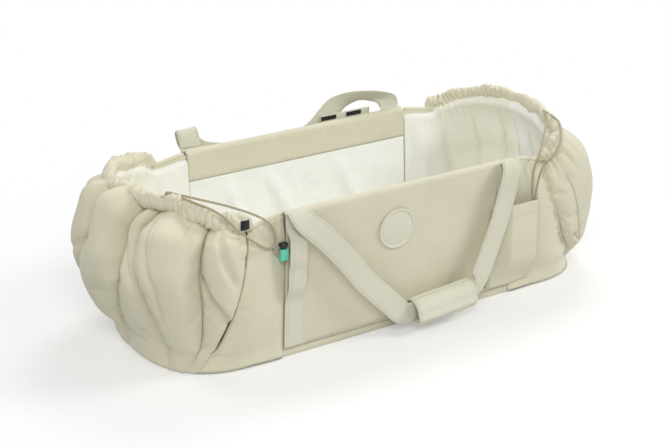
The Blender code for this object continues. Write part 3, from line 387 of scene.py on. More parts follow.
def mottle(tree, scale, detail=3.0):
    """An uneven pattern of soft patches, finer at a larger scale."""
    texture = add(tree, "TexNoise")
    texture.inputs["Scale"].default_value = scale
    texture.inputs["Detail"].default_value = detail
    tree.links.new(coordinates(tree, "Object"), texture.inputs["Vector"])
    return texture.outputs["Fac"]


def waves(tree, pitch, turn=0.0):
    """Two crossing sine waves on the UV map, one period each pitch."""
    split = add(tree, "SeparateXYZ")
    tree.links.new(coordinates(tree, "UV", 2 * pi / pitch, turn), split.inputs[0])
    return maths(tree, "SINE", split.outputs["X"]), maths(tree, "SINE", split.outputs["Y"])


def bump(tree, height, distance, strength=1.0, below=None):
    made = add(tree, "Bump")
    made.inputs["Distance"].default_value = distance
    made.inputs["Strength"].default_value = strength
    tree.links.new(height, made.inputs["Height"])
    if below is not None:
        tree.links.new(below, made.inputs["Normal"])
    return made.outputs["Normal"]


def blend_colours(tree, factor, first, second):
    made = add(tree, "MixRGB")
    tree.links.new(factor, made.inputs["Fac"])
    for socket, value in ((made.inputs["Color1"], first), (made.inputs["Color2"], second)):
        if isinstance(value, tuple):
            socket.default_value = value
        else:
            tree.links.new(value, socket)
    return made.outputs["Color"]


def stepped(tree, value, start, end, low=0.0, high=1.0):
    """A smooth step from low to high while a value runs from start to end."""
    made = add(tree, "MapRange", interpolation_type="SMOOTHSTEP")
    for key, number in (("From Min", start), ("From Max", end), ("To Min", low), ("To Max", high)):
        made.inputs[key].default_value = number
    tree.links.new(value, made.inputs["Value"])
    return made.outputs["Result"]


def uneven_gloss(tree, shader, scale, amount, roughness):
    patches = maths(tree, "MULTIPLY", mottle(tree, scale), amount)
    tree.links.new(maths(tree, "ADD", patches, roughness - amount / 2), shader.inputs["Roughness"])


COTTON_ROUGHNESS = 0.88


def woven(name, light, dark, pitch, depth, crumple, turn=0.0):
    """A woven cloth: crossing threads, a mottled colour, painted shade between the threads, and crumples that
    scatter the light.
    """
    made, tree, shader = new_finish(name, COTTON_ROUGHNESS, 0.25, specular=0.25)
    across, along = waves(tree, pitch, turn)
    weave = maths(tree, "MULTIPLY", across, along)
    slub = mottle(tree, 420, 2)
    threads = maths(tree, "ADD", maths(tree, "MULTIPLY", weave, 0.5), slub)
    # painted shade: the colour is darker between the threads, where the weave is low; the mottle and the slub
    # are the cloth's real uneven colour
    colour_variation = maths(tree, "ADD", maths(tree, "MULTIPLY", mottle(tree, 16), 0.8),
                maths(tree, "MULTIPLY", threads, 0.28))
    tree.links.new(blend_colours(tree, colour_variation, dark, light), shader.inputs["Base Color"])
    uneven_gloss(tree, shader, 70, 0.12, COTTON_ROUGHNESS)
    crumpled = bump(tree, mottle(tree, 42, 4), crumple)
    tree.links.new(bump(tree, threads, depth, 0.6, crumpled), shader.inputs["Normal"])
    return made


# %% [markdown]
# The air mesh inside is a knitted spacer cloth with small round holes in staggered rows. A Voronoi pattern
# without randomness, turned by 45 degrees, gives those rows, and its holes are coloured darker as a painted
# shade. The cord is a braid: two sets of diagonal waves that cross, with a painted shade in the valleys
# between them. Plastics, hook tape and steel only need fine grain and uneven gloss.

# %% The other finishes
def air_mesh(name, light, dark, pitch):
    made, tree, shader = new_finish(name, 0.92, 0.3, specular=0.2)
    holes = add(tree, "TexVoronoi")
    holes.inputs["Scale"].default_value = 1.0
    holes.inputs["Randomness"].default_value = 0.0
    tree.links.new(coordinates(tree, "UV", 1 / pitch, radians(45)), holes.inputs["Vector"])
    yarn = stepped(tree, holes.outputs["Distance"], 0.16, 0.36)
    knit = maths(tree, "ADD", yarn, maths(tree, "MULTIPLY", mottle(tree, 500, 2), 0.35))
    colour_variation = maths(tree, "MULTIPLY", mottle(tree, 18), 0.3)
    # painted shade: the holes are darker than the yarn round them
    tone = maths(tree, "ADD", maths(tree, "MULTIPLY", yarn, 0.75), colour_variation)
    tree.links.new(blend_colours(tree, tone, dark, light), shader.inputs["Base Color"])
    soft = bump(tree, mottle(tree, 30), 0.0012)
    tree.links.new(bump(tree, knit, 0.0006, 0.7, soft), shader.inputs["Normal"])
    return made


def braided(name, light, dark, pitch):
    made, tree, shader = new_finish(name, 0.75, 0.15, specular=0.3)
    one, other = waves(tree, pitch, radians(45))
    height = maths(tree, "MAXIMUM", one, other)
    fibre = maths(tree, "MULTIPLY", mottle(tree, 300), 0.7)
    # painted shade: the tone follows the braid's height, darker in its valleys; the fibre mottle is the
    # cord's real uneven colour
    tone = maths(tree, "ADD", maths(tree, "MULTIPLY", height, 0.45), fibre)
    tree.links.new(blend_colours(tree, tone, dark, light), shader.inputs["Base Color"])
    tree.links.new(bump(tree, height, 0.0002, 0.8), shader.inputs["Normal"])
    return made


def grained(name, light, dark, roughness, grain, depth, metallic=0.0, coarse=40):
    """Plastic, rubber, board, foam, tape or steel: a fine grain and a slightly uneven gloss."""
    made, tree, shader = new_finish(name, roughness, metallic=metallic)
    tree.links.new(blend_colours(tree, mottle(tree, coarse), dark, light), shader.inputs["Base Color"])
    uneven_gloss(tree, shader, grain / 3, 0.2, roughness)
    tree.links.new(bump(tree, mottle(tree, grain, 4), depth), shader.inputs["Normal"])
    return made


STONE = woven("stone_cloth", shade(223, 219, 195), shade(208, 203, 177), 0.0011, 0.00018, 0.0012)
WEBBING = woven("pale_webbing", shade(221, 219, 200), shade(209, 206, 185), 0.0016, 0.00026, 0.0008,
                turn=radians(45))
LINING = woven("ivory_lining", shade(240, 240, 230), shade(229, 228, 214), 0.0009, 0.00014, 0.0012)
CREAM = woven("cream_lining", shade(243, 241, 228), shade(233, 230, 214), 0.0009, 0.00014, 0.0012)
MESH = air_mesh("white_air_mesh", shade(250, 251, 246), shade(222, 224, 216), 0.0034)
CORD = braided("braided_cord", shade(198, 186, 160), shade(150, 138, 112), 0.0017)
MINT = grained("mint_plastic", shade(112, 214, 184), shade(92, 196, 166), 0.38, 900, 0.00005)
BLACK = grained("black_plastic", shade(38, 38, 38), shade(24, 24, 24), 0.45, 900, 0.00006)
HOOKS = grained("black_hook_tape", shade(34, 34, 34), shade(14, 14, 14), 0.85, 1300, 0.0006, coarse=900)
STEEL = grained("spring_steel", shade(190, 190, 194), shade(160, 160, 166), 0.3, 1500, 0.00004, metallic=1.0)
RUBBER = grained("badge_stone", shade(222, 219, 201), shade(212, 208, 188), 0.55, 260, 0.00012)
FOAM = grained("grey_foam", shade(206, 206, 202), shade(180, 180, 176), 0.95, 500, 0.0006, coarse=300)
BOARD = grained("stiff_board", shade(150, 149, 146), shade(128, 127, 124), 0.6, 320, 0.0001)
LABEL = woven("black_label", shade(44, 44, 46), shade(22, 22, 24), 0.0007, 0.00012, 0.0003)
THREAD = grained("sewing_thread", shade(222, 219, 200), shade(206, 202, 180), 0.7, 2600, 0.00005)
print(len(bpy.data.materials), "finishes")

# %% [markdown]
# The lining of an end is cream round the tip and white beside the walls, where it meets the air mesh. One
# finish can hold both: the UV map runs from wall to wall, so it says which colour a point has. The middle
# of the tip is whitened as well: a painted highlight, for a band that is lit brighter there.

# %% Two-coloured lining
LINING_MIDDLE = 0.25


def whiten_ends(made, start, end, white):
    """Mix a finish towards white by the distance, in metres, from the middle of its UV map."""
    tree = made.node_tree
    shader = tree.nodes["Principled BSDF"]
    cream = shader.inputs["Base Color"].links[0].from_socket
    split = add(tree, "SeparateXYZ")
    tree.links.new(coordinates(tree, "UV"), split.inputs[0])
    away = maths(tree, "ABSOLUTE", maths(tree, "SUBTRACT", split.outputs["X"], LINING_MIDDLE))
    whitened = blend_colours(tree, stepped(tree, away, start, end), cream, white)
    tree.links.new(whitened, shader.inputs["Base Color"])


whiten_ends(CREAM, 0.172, 0.190, shade(240, 240, 231))
# painted highlight: a whiter band across the middle of the tip
whiten_ends(CREAM, 0.056, 0.046, shade(246, 246, 240))
print("the end lining is whiter beside the walls and in a band at the tip")

# %% [markdown]
# ## Making a cloth piece
# Most pieces are a pad: two flat grids are laid on the inner and the outer face of the piece by a function
# of u and v, and bridged along their edges. That gives a closed form with even quads, and its UV map holds
# real metres. The grid could also be thickened by a modifier, but two faces let a pad be fat in the
# middle and thin at its seams, as sewn padding is.


def finish_piece(name, shape, surface, replaced=None, body="carrier"):
    """Make an object of the shape, give it its finish, and let it ride with its body."""
    layers = shape.verts.layers.float_vector
    if "cloth" in layers:
        layers.remove(layers["cloth"])
    mesh = bpy.data.meshes.new(name)
    shape.to_mesh(mesh)
    shape.free()
    mesh.shade_smooth()
    mesh.materials.append(surface)
    piece = placed(name, mesh)
    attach(piece, body)
    if replaced:
        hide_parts(replaced)
    print(name, len(mesh.polygons), "faces on", body)
    return piece


def cloth_layer(shape):
    """Each vertex keeps its (u, v, mark): mark 0 is the outer face, 1 the inner one."""
    layers = shape.verts.layers.float_vector
    return layers.get("cloth") or layers.new("cloth")


def write_uv(shape, faces, size):
    uv = shape.loops.layers.uv.verify()
    cloth = cloth_layer(shape)
    for face in faces:
        for loop in face.loops:
            u, v, _ = loop.vert[cloth]
            loop[uv].uv = (u * size[0], v * size[1])


def laid_grid(shape, columns, rows, place, size, mark=0.0):
    """One flat grid laid on place(u, v), its UV map in metres. Returns its vertices."""
    cloth = cloth_layer(shape)
    made = bmesh.ops.create_grid(shape, x_segments=columns, y_segments=rows, size=0.5)["verts"]
    for vertex in made:
        u, v = vertex.co.x + 0.5, vertex.co.y + 0.5
        vertex[cloth] = (u, v, mark)
        vertex.co = place(u, v)
    write_uv(shape, {face for vertex in made for face in vertex.link_faces}, size)
    return made


def pad_shape(columns, rows, place, size):
    """A closed pad: its inner face is laid on place(u, v, 0), its outer one on place(u, v, 1)."""
    shape = bmesh.new()
    rims = []
    for layer in (0, 1):
        members = set(laid_grid(shape, columns, rows, lambda u, v: place(u, v, layer), size, 1 - layer))
        rims += [edge for edge in shape.edges if edge.is_boundary and edge.verts[0] in members]
    write_uv(shape, bmesh.ops.bridge_loops(shape, edges=rims)["faces"], size)
    bmesh.ops.recalc_face_normals(shape, faces=shape.faces)
    return shape


def close_up(shape, distance):
    """Merge the vertices that coincide, fill what is open and turn every face outwards."""
    bmesh.ops.remove_doubles(shape, verts=shape.verts, dist=distance)
    bmesh.ops.holes_fill(shape, edges=[edge for edge in shape.edges if edge.is_boundary], sides=0)
    bmesh.ops.recalc_face_normals(shape, faces=shape.faces)
    return shape


def tube_shape(points, radius, around, rows, size):
    """A closed tube along points; radius(s, t) is given the share along it and round it."""
    frames = []
    normal = None
    for i in range(rows + 1):
        ahead = through(points, min(1, (i + 0.4) / rows))
        behind = through(points, max(0, (i - 0.4) / rows))
        along = (ahead - behind).normalized()
        if normal is None:
            normal = along.cross(Vector((0, 0, 1)) if abs(along.z) < 0.9 else Vector((0, 1, 0)))
        normal = (normal - along * normal.dot(along)).normalized()
        frames.append((through(points, i / rows), normal.copy(), along.cross(normal)))

    def place(u, v):
        here, side_way, up_way = frames[round(v * rows)]
        angle = 2 * pi * u
        return here + (side_way * cos(angle) + up_way * sin(angle)) * radius(v, u)

    shape = bmesh.new()
    laid_grid(shape, around, rows, place, size)
    return close_up(shape, 0.000002)


def end_radius(radius, tip=0.4, margin=0.001):
    """The radius of a round tube that is drawn in at its two ends."""
    return lambda s, t: radius * (1 if margin < s < 1 - margin else tip)


EDGE_LINES = (0.09, 0.91)


def ribbon_frame(path, across, v):
    """A point of a strap's middle line, the direction across the strap and the one out of it."""
    wide = through(across, v).normalized()
    return through(path, v), wide, wide.cross(heading(path, v, 0.004)).normalized()


def ribbon_shape(path, across, widths, thick, rows, columns, groove):
    """A flat strap with soft edges, swept along a path; it is wide along the across vectors."""
    def place(u, v, layer):
        here, wide, up = ribbon_frame(path, across, v)
        soft = (1 - abs(2 * u - 1) ** 6) ** 0.5
        soft -= groove * sum(exp(-((u - line) / 0.028) ** 2) for line in EDGE_LINES)
        return here + wide * through(widths, v) * (u - 0.5) + up * ((2 * layer - 1) * thick / 2 * soft)

    return pad_shape(columns, rows, place, (widths[0], path_length(path)))


# %% [markdown]
# ## Stitches
# A seam is told by its stitches: short threads about 3 mm long that lie on the cloth. Each stitch is a tiny
# ball of twenty faces, stretched along the seam and half sunk into the cloth. A texture could draw them
# too, but real threads also catch the light from the side.

# %% Stitch helper
STITCH = 0.0030
STITCH_GAP = 0.0012
STITCH_RADIUS = 0.00042


def stitch_row(name, lines, body="carrier"):
    """Stitches along several lines of (point, outward) pairs, as one piece."""
    shape = bmesh.new()
    count = 0
    size = Matrix.Diagonal((STITCH / 2, STITCH_RADIUS * 1.3, STITCH_RADIUS, 1))
    for line in lines:
        points = [point for point, _ in line]
        outwards = [outward for _, outward in line]
        number = max(2, round(path_length(points) / (STITCH + STITCH_GAP)))
        for i in range(number):
            share = (i + 0.5) / number
            along = heading(points, share, 0.01)
            out = through(outwards, share)
            out = (out - along * out.dot(along)).normalized()
            turn = Matrix((along, out.cross(along), out)).transposed().to_4x4()
            where = Matrix.Translation(through(points, share) + out * STITCH_RADIUS * 0.4) @ turn @ size
            bmesh.ops.create_icosphere(shape, subdivisions=1, radius=1, matrix=where)
        count += number
    print(count, "stitches:", name)
    return finish_piece(name, shape, THREAD, body=body)


# %% [markdown]
# ## Draw cords
# Each end has one cord. Both of its strands leave a ring on the hem, run down to a spring lock and come
# back in a loop behind it. A limp braid hangs from what holds it, so the route is a smooth curve through
# the ring, over the hem, along the wall and through the lock. The points are those of the CAD source.

# %% Cord route helpers
CORD_RADIUS = 0.0015
HEM_RADIUS = 0.0068
HEM_RUFFLE = 0.0012
LOCK_WIDE = 0.012
LOCK_SLIDE = 0.008
CORD_HEIGHTS = (0.0127, 0.0094)
LOCK_BEND = 0.0088
LOOP_RADIUS = 0.0060
LOOP_DROP = 0.035
TOUCH = 0.0002
EYELET_ANGLE = radians(-18)
LOCKS = {-1: Vector((0.198, -0.1512, 0.1525)), 1: Vector((0.2075, -0.1542, 0.105))}


def spaced(points, step):
    """Points at an even step along a smooth curve through the given ones."""
    count = 40 * (len(points) - 1)
    fine = [through(points, i / count) for i in range(count + 1)]
    lengths = [0.0]
    for a, b in zip(fine, fine[1:]):
        lengths.append(lengths[-1] + (b - a).length)
    number = max(2, round(lengths[-1] / step))
    result = []
    for i in range(number + 1):
        goal = lengths[-1] * i / number
        index = max(1, min(bisect_left(lengths, goal), count))
        share = (goal - lengths[index - 1]) / (lengths[index] - lengths[index - 1])
        result.append(fine[index - 1].lerp(fine[index], clamp(share)))
    return result


def rim_angles(count):
    """Even angles from one gathered seam round the tip to the other."""
    last = end_angle(TOP_SEAM_X + 2 * SEAM_GAP, SEAM_TOP_Z)
    return [mix(-last, last, i / count) for i in range(count + 1)]


def eyelet_frame(side):
    """Seat, outward direction and length direction of the ring on a hem."""
    middle = sided(rim_path(EYELET_ANGLE, HEM_LIFT), side)
    along = (sided(rim_path(EYELET_ANGLE + 0.05, HEM_LIFT), side) - middle).normalized()
    inward = along.cross(Vector((0, 0, 1)))
    inward = inward if inward.x * side <= 0 else -inward
    facing = (inward * 0.45 + Vector((0, 0, 1))).normalized()
    facing = (facing - along * facing.dot(along)).normalized()
    return middle + facing * HEM_LIFT, facing, along if along.y < 0 else -along


def lifted_off(point, centre, distance):
    """The point, pushed away from the hem's middle line where it comes too close."""
    nearest = min(centre, key=lambda place: (place - point).length)
    gap = point - nearest
    return point if gap.length >= distance else nearest + gap.normalized() * distance


def hung(x, z, out=0.0):
    """A point of a cord that hangs before a wall or panel, a little more than its radius off the cloth."""
    return (x, -(front_face_y(x, min(z, RIM_Z - 0.012)) + CORD_RADIUS + 0.0008 + out), z)


def strand(side, offset, way, height):
    """One strand: out of the ring, over the hem, down the wall and into the lock."""
    foot = LOCKS[side]
    seat, facing, _ = eyelet_frame(side)
    face_x = foot.x + LOCK_WIDE / 2
    z = foot.z + height
    curl = 0.0045 if height == CORD_HEIGHTS[0] else 0.0080
    bends = ((curl, curl + 0.004), (curl * 0.8, curl * 0.35), (curl * 0.4, curl * 0.05), (0.0006, 0),
             (-0.0005, 0))
    entry = [sided(Vector((face_x + dx, foot.y, z + dz)), side) for dx, dz in bends]
    start = seat + facing * 0.0003
    rise = [start + offset, start + offset + facing * 0.0028,
            start + offset * 1.25 + facing * 0.0062 - Vector((side * 0.002, 0.002, 0))]
    route = spaced(rise[2:] + [sided(Vector(p), side) for p in way] + entry[:1], 0.0095)
    centre = [sided(rim_path(angle, HEM_LIFT), side) for angle in rim_angles(96)]
    clear = HEM_LIFT + CORD_RADIUS + TOUCH
    return rise[:2] + [lifted_off(point, centre, clear) for point in route] + entry[1:]


def cord_tail(side, tail_back):
    """Behind the lock the cord bends down and comes back up through a small hanging loop."""
    foot = LOCKS[side]
    straight_end = foot.x - LOCK_WIDE / 2 - LOCK_SLIDE
    turn_z = foot.z + CORD_HEIGHTS[0] - LOCK_BEND
    inner = LOCK_BEND - (CORD_HEIGHTS[0] - CORD_HEIGHTS[1])

    def bend(radius, i):
        turn = pi / 10 * i
        return Vector((straight_end - radius * sin(turn), foot.y, turn_z + radius * cos(turn)))

    tail = [bend(LOCK_BEND, i) for i in range(6)]
    for i in range(9):
        angle = radians(mix(-20, 200, i / 8))
        tail.append(Vector((straight_end - (LOCK_BEND + inner) / 2 - LOOP_RADIUS * cos(angle), foot.y,
                            turn_z - LOOP_DROP - LOOP_RADIUS * sin(angle))))
    tail += [bend(inner, i) for i in range(5, -1, -1)]
    lean = (RIM_HALF_WIDTH - FOOT_HALF_WIDTH) / (RIM_Z - BAND_Z)
    for point in tail:
        fall = max(0.0, turn_z + inner - point.z)
        point.y += fall * lean + tail_back * ease(fall / 0.012)
    return [sided(point, side) for point in tail]


def cord_points(side, upper, lower, tail_back):
    """The whole cord: down one strand, round the loop behind the lock and up the other strand."""
    spread = eyelet_frame(side)[2] * (CORD_RADIUS + TOUCH)
    down = strand(side, -spread, upper, CORD_HEIGHTS[0])
    back = strand(side, spread, lower, CORD_HEIGHTS[1])
    return down + cord_tail(side, tail_back) + back[::-1]


# %% [markdown]
# The cord itself is a tube whose cross-section stays round, closed at both ends. Its UV map runs along it
# in metres, so the braid follows every bend.

# %% Draw cords
ROUTES = {
    -1: (((0.290, -0.092, 0.238), (0.262, -0.122, 0.232), (0.236, -0.145, 0.222), hung(0.221, 0.211, 0.002),
          hung(0.212, 0.197, 0.002)),
         ((0.302, -0.104, 0.240), (0.291, -0.130, 0.237), (0.281, -0.150, 0.229), (0.268, -0.159, 0.212),
          hung(0.246, 0.192, 0.004), hung(0.226, 0.177, 0.002)), 0.0),
    1: (((0.292, -0.092, 0.240), (0.264, -0.120, 0.234), (0.241, -0.142, 0.224), hung(0.227, 0.211, 0.002),
         hung(0.2205, 0.195, 0.001), hung(0.2185, 0.170, 0.001), hung(0.2180, 0.150, 0.003)),
        ((0.302, -0.104, 0.240), (0.286, -0.130, 0.236), (0.268, -0.151, 0.226), (0.250, -0.158, 0.211),
         hung(0.235, 0.195, 0.003), hung(0.226, 0.170, 0.001), hung(0.2222, 0.150, 0.003)), 0.003),
}
for side, end in ENDS:
    points = cord_points(side, *ROUTES[side])
    length = path_length(points)
    even = spaced(points, length / 150)
    shape = tube_shape(even, end_radius(CORD_RADIUS), 12, 300, (2 * pi * CORD_RADIUS, length))
    cord = finish_piece(end + "_braided_draw_cord", shape, CORD, end + "_draw_cord")
    tuple(points[0])
    print(end, "draw cord is", round(length, 3), "m long")


# %% [markdown]
# The hem hides a second run of each cord, which draws the end together. It only has to fill the channel,
# so it is a plain tube along the hem's middle line. The rings are turned: a small profile is spun once
# round the ring's own axis.

# %% Hidden cords and rings
def turned_shape(profile, seat, facing, steps):
    """Spin a closed profile of (radius, height) once round the axis through seat."""
    shape = bmesh.new()
    corners = [shape.verts.new((radius, 0, height)) for radius, height in profile]
    for first, second in zip(corners, corners[1:] + corners[:1]):
        if first.co.x or second.co.x:
            shape.edges.new((first, second))
    bmesh.ops.spin(shape, geom=shape.verts[:] + shape.edges[:], cent=(0, 0, 0), axis=(0, 0, 1),
                   angle=2 * pi, steps=steps, use_merge=True)
    bmesh.ops.remove_doubles(shape, verts=shape.verts, dist=0.00001)
    bmesh.ops.recalc_face_normals(shape, faces=shape.faces)
    turn = facing.to_track_quat("Z", "Y").to_matrix().to_4x4()
    bmesh.ops.transform(shape, matrix=Matrix.Translation(seat) @ turn, verts=shape.verts)
    return shape


def rounded_profile(corners, radius):
    """Replace each corner of a (radius, height) profile by three points on a small arc."""
    result = []
    for i, corner in enumerate(corners):
        here = Vector(corner)
        back = Vector(corners[i - 1]) - here
        ahead = Vector(corners[(i + 1) % len(corners)]) - here
        if here.x == 0:
            result.append(here)
            continue
        a = here + back.normalized() * radius
        b = here + ahead.normalized() * radius
        result += [a, (a + b) / 4 + here / 2, b]
    return [tuple(point) for point in result]


CHANNEL = (HEM_RADIUS - HEM_RUFFLE - 0.0018) * cos(pi / 8)
HEM_CORD_LIFT = HEM_LIFT - (CHANNEL - CORD_RADIUS - FIT)
HOLE_RADIUS = 0.0037
RING_RADIUS = 0.0065
RING_TALL = 0.002
RING = rounded_profile([(HOLE_RADIUS, 0), (RING_RADIUS, 0), (RING_RADIUS, RING_TALL),
                        (HOLE_RADIUS, RING_TALL)], 0.0006)
for side, end in ENDS:
    line = [sided(rim_path(angle, HEM_CORD_LIFT), side) for angle in rim_angles(60)]
    shape = tube_shape(line, end_radius(CORD_RADIUS * 0.96, 0.5), 10, 120,
                       (2 * pi * CORD_RADIUS, path_length(line)))
    finish_piece(end + "_drawn_hem_cord", shape, CORD, end + "_hem_cord")
    seat, facing, _ = eyelet_frame(side)
    finish_piece(end + "_bound_eyelet", turned_shape(RING, seat, facing, 36), WEBBING, end + "_cord_eyelet")


# %% [markdown]
# ## Base
# The base is a cloth tray: a flat bottom and a low band that stands round a stiff board. Seen from above
# it is straight along the walls and rounded at both tips. Its cloth is a strip of grid laid round that
# outline with the tray's profile, closed in the middle by one flat face above and one below.

# %% Base cover
BASE_CORNER = 2.8


def base_half(x, inset):
    """Half width of the base at x."""
    over = clamp((abs(x) - WALL_HALF) / (BASE_REACH - inset - WALL_HALF))
    return (FOOT_HALF_WIDTH - inset) * max(0.0, 1 - over ** BASE_CORNER) ** (1 / BASE_CORNER)


def rim_quarter(share, inset):
    """A point of the base's outline, from the middle of a wall to the tip."""
    reach = BASE_REACH - inset
    half = FOOT_HALF_WIDTH - inset
    if share < 0.5:
        return WALL_HALF * share * 2, half
    angle = pi / 2 * (2 - 2 * share)
    return (WALL_HALF + (reach - WALL_HALF) * abs(cos(angle)) ** (2 / BASE_CORNER),
            half * abs(sin(angle)) ** (2 / BASE_CORNER))


def over_base(point, angle, v, reach_out, until, drop):
    """Near the base a pad's outer face comes down outside the base band, hangs past it and turns under."""
    x = WALL_HALF + (BASE_REACH + reach_out - WALL_HALF) * abs(cos(angle)) ** (2 / BASE_CORNER)
    y = (FOOT_HALF_WIDTH + reach_out) * signed_power(sin(angle), 2 / BASE_CORNER)
    share = clamp(v / until)
    down = drop * ease(share / 0.35) ** 0.5 * (1 - ease((share - 0.35) / 0.65))
    return point.lerp(Vector((x, y, point.z)), 1 - ease(share)) - Vector((0, 0, down))


def ring_place(profile, u, v):
    """A profile of (inset, height) carried once round the base's outline."""
    inset, z = profile[round(v * (len(profile) - 1))]
    part = min(int(u * 4), 3)
    share = u * 4 - part
    x, y = rim_quarter(1 - share if part in (1, 3) else share, inset)
    return Vector((x if part < 2 else -x, -y if part in (0, 3) else y, z))


tray = [(0.070, 0.0), (0.012, 0.0), (0.005, 0.0), (0.0028, 0.0004), (0.0016, 0.0016), (0.0011, 0.0035),
        (0.0009, 0.0060), (0.0010, 0.0085), (0.0015, 0.0108), (0.0020, 0.0118), (0.0024, 0.0120),
        (0.0028, 0.0117), (0.0031, 0.0108), (0.0031, 0.0040), (0.0035, 0.0030), (0.070, 0.0030)]
shape = bmesh.new()
laid_grid(shape, 288, len(tray) - 1, partial(ring_place, tray), (1.75, 0.17))
finish_piece("base_tray_cloth", close_up(shape, 0.00002), STONE, "base_cover")

# %% [markdown]
# Inside the tray lie the stiff board and a thin cloth over it. The cloth follows the base's outline, so its
# grid runs from tip to tip, and each cross row is as wide as the base is there.

# %% Base lining
def across_base(u, v, inset):
    """u runs from tip to tip with closer rows near the tips, v across."""
    reach = BASE_REACH - inset - FIT
    x = reach * signed_power(sin(pi * (u - 0.5)), 0.8)
    return x, base_half(x, inset) * (2 * v - 1)


def base_lining_place(u, v, top):
    x, y = across_base(u, v, 0.0035)
    ripple = 0.00035 * noise.noise(Vector((x * 22, y * 22, 3)))
    return Vector((x, y, 0.0121 + ripple if top else 0.0079))


shape = pad_shape(96, 36, base_lining_place, (0.68, 0.266))
lining = finish_piece("base_lining_cloth", shape, LINING, "base_lining")

# %% [markdown]
# ## Padding that swells
# Fibre filling pushes the cloth outwards wherever no seam holds it. Blender's cloth does the same: the pad
# keeps its seams and its hidden inner face, a light pressure swells the rest, and a little spare cloth
# makes it buckle into small folds. The solver's result is read back into the mesh, so nothing live
# remains. Sculpting those folds by hand would take far longer and look more regular.

# %% Swelling helper
SWELL_FRAMES = 16
CLOTH_STIFFNESS = 18
CLOTH_MASS = 0.25
CLOTH_QUALITY = 6


def swell(shape, held, pressure, spare, cap, bending=0.6):
    """Swell a closed pad. held gives each vertex from 0, free, to 1, sewn down; cap limits the movement."""
    mesh = bpy.data.meshes.new("swelling")
    shape.verts.index_update()
    shape.to_mesh(mesh)
    pad = placed("swelling", mesh)
    group = pad.vertex_groups.new(name="sewn")
    for index, weight in enumerate(held):
        group.add([index], weight, "REPLACE")
    cloth = pad.modifiers.new("Padding", "CLOTH")
    settings = cloth.settings
    settings.quality = CLOTH_QUALITY
    settings.mass = CLOTH_MASS
    settings.tension_stiffness = CLOTH_STIFFNESS
    settings.compression_stiffness = CLOTH_STIFFNESS
    settings.shear_stiffness = CLOTH_STIFFNESS / 2
    settings.bending_stiffness = bending
    settings.vertex_group_mass = "sewn"
    settings.use_pressure = True
    settings.uniform_pressure_force = pressure
    settings.shrink_min = -spare
    settings.effector_weights.gravity = 0
    cloth.point_cache.frame_end = SWELL_FRAMES
    for frame_number in range(1, SWELL_FRAMES + 1):
        bpy.context.scene.frame_set(frame_number)
    graph = bpy.context.evaluated_depsgraph_get()
    swollen = pad.evaluated_get(graph).to_mesh()
    moved = 0.0
    for vertex, result in zip(shape.verts, swollen.vertices):
        step = result.co - vertex.co
        moved = max(moved, step.length)
        if step.length > cap:
            step *= cap / step.length
        vertex.co += step
    bpy.data.objects.remove(pad, do_unlink=True)
    bpy.data.meshes.remove(mesh)
    bpy.context.scene.frame_set(1)
    print("swelled by up to", round(moved * 1000, 1), "mm")


def refine(shape):
    """One smooth subdivision of the whole pad."""
    bmesh.ops.subdivide_edges(shape, edges=shape.edges, cuts=1, use_grid_fill=True, smooth=0.6)


def relief(shape, height):
    """Push each vertex of the outer face along its normal by height(u, v)."""
    cloth = cloth_layer(shape)
    shape.normal_update()
    moves = []
    for vertex in shape.verts:
        u, v, mark = vertex[cloth]
        if mark < 0.25:
            moves.append((vertex, vertex.normal * height(u, v)))
    for vertex, step in moves:
        vertex.co += step


# %% [markdown]
# ## Creases and gathers
# The drawn cord shortens the rim, so the cloth below it folds into long puffs that hang from the hem to
# the base. A main crease is a line down the shell, given as pairs of height and share of the way round.
# The lines that show in the photograph follow it, and the hidden ones are of the same kind. Short creases,
# given as pairs of share and height, press into the puffs. Right under the hem the cloth is pleated more
# finely, and those pleats fade out downwards.

# %% Crease maps
MAIN_CREASES = {
    -1: (((0, 0), (1, 0)),
         ((0, .055), (.21, .074), (.39, .093), (.56, .110), (.72, .131), (.85, .145), (.93, .146), (1, .13)),
         ((0, .165), (.16, .195), (.25, .225), (.45, .269), (.62, .297), (.72, .335), (.81, .371), (.9, .395),
          (1, .375)),
         ((0, .56), (.21, .54), (.45, .457), (.62, .412), (.76, .418), (.88, .441), (1, .435)),
         ((0, .65), (.39, .65), (.51, .653), (.65, .616), (.81, .577), (.91, .585), (1, .555)),
         ((0, .75), (.4, .761), (.7, .726), (1, .69)),
         ((0, .86), (.4, .872), (.7, .862), (1, .82)),
         ((0, 1), (1, 1))),
    1: (((0, 0), (1, 0)),
        ((0, .075), (.3, .078), (.55, .088), (.75, .088), (.9, .075), (1, .065)),
        ((0, .42), (.3, .43), (.6, .42), (.85, .39), (1, .37)),
        ((0, .60), (.3, .60), (.6, .585), (.85, .56), (1, .545)),
        ((0, .74), (.4, .73), (.7, .71), (1, .69)),
        ((0, .87), (.4, .86), (.7, .85), (1, .83)),
        ((0, 1), (1, 1))),
}
# how fat each puff but the first is, from the front seam to the rear one
FULLNESS = {-1: (1.0, 0.38, 1.0, 0.9, 0.9, 0.8), 1: (1.0, 1.0, 0.85, 0.85, 0.8)}
# how deep each main crease is
CREASE_DEPTH = {-1: (1, 1, 1, 1, 0.85, 0.8, 0.8, 1), 1: (1, 0.16, 0.35, 0.55, 0.75, 0.8, 1)}
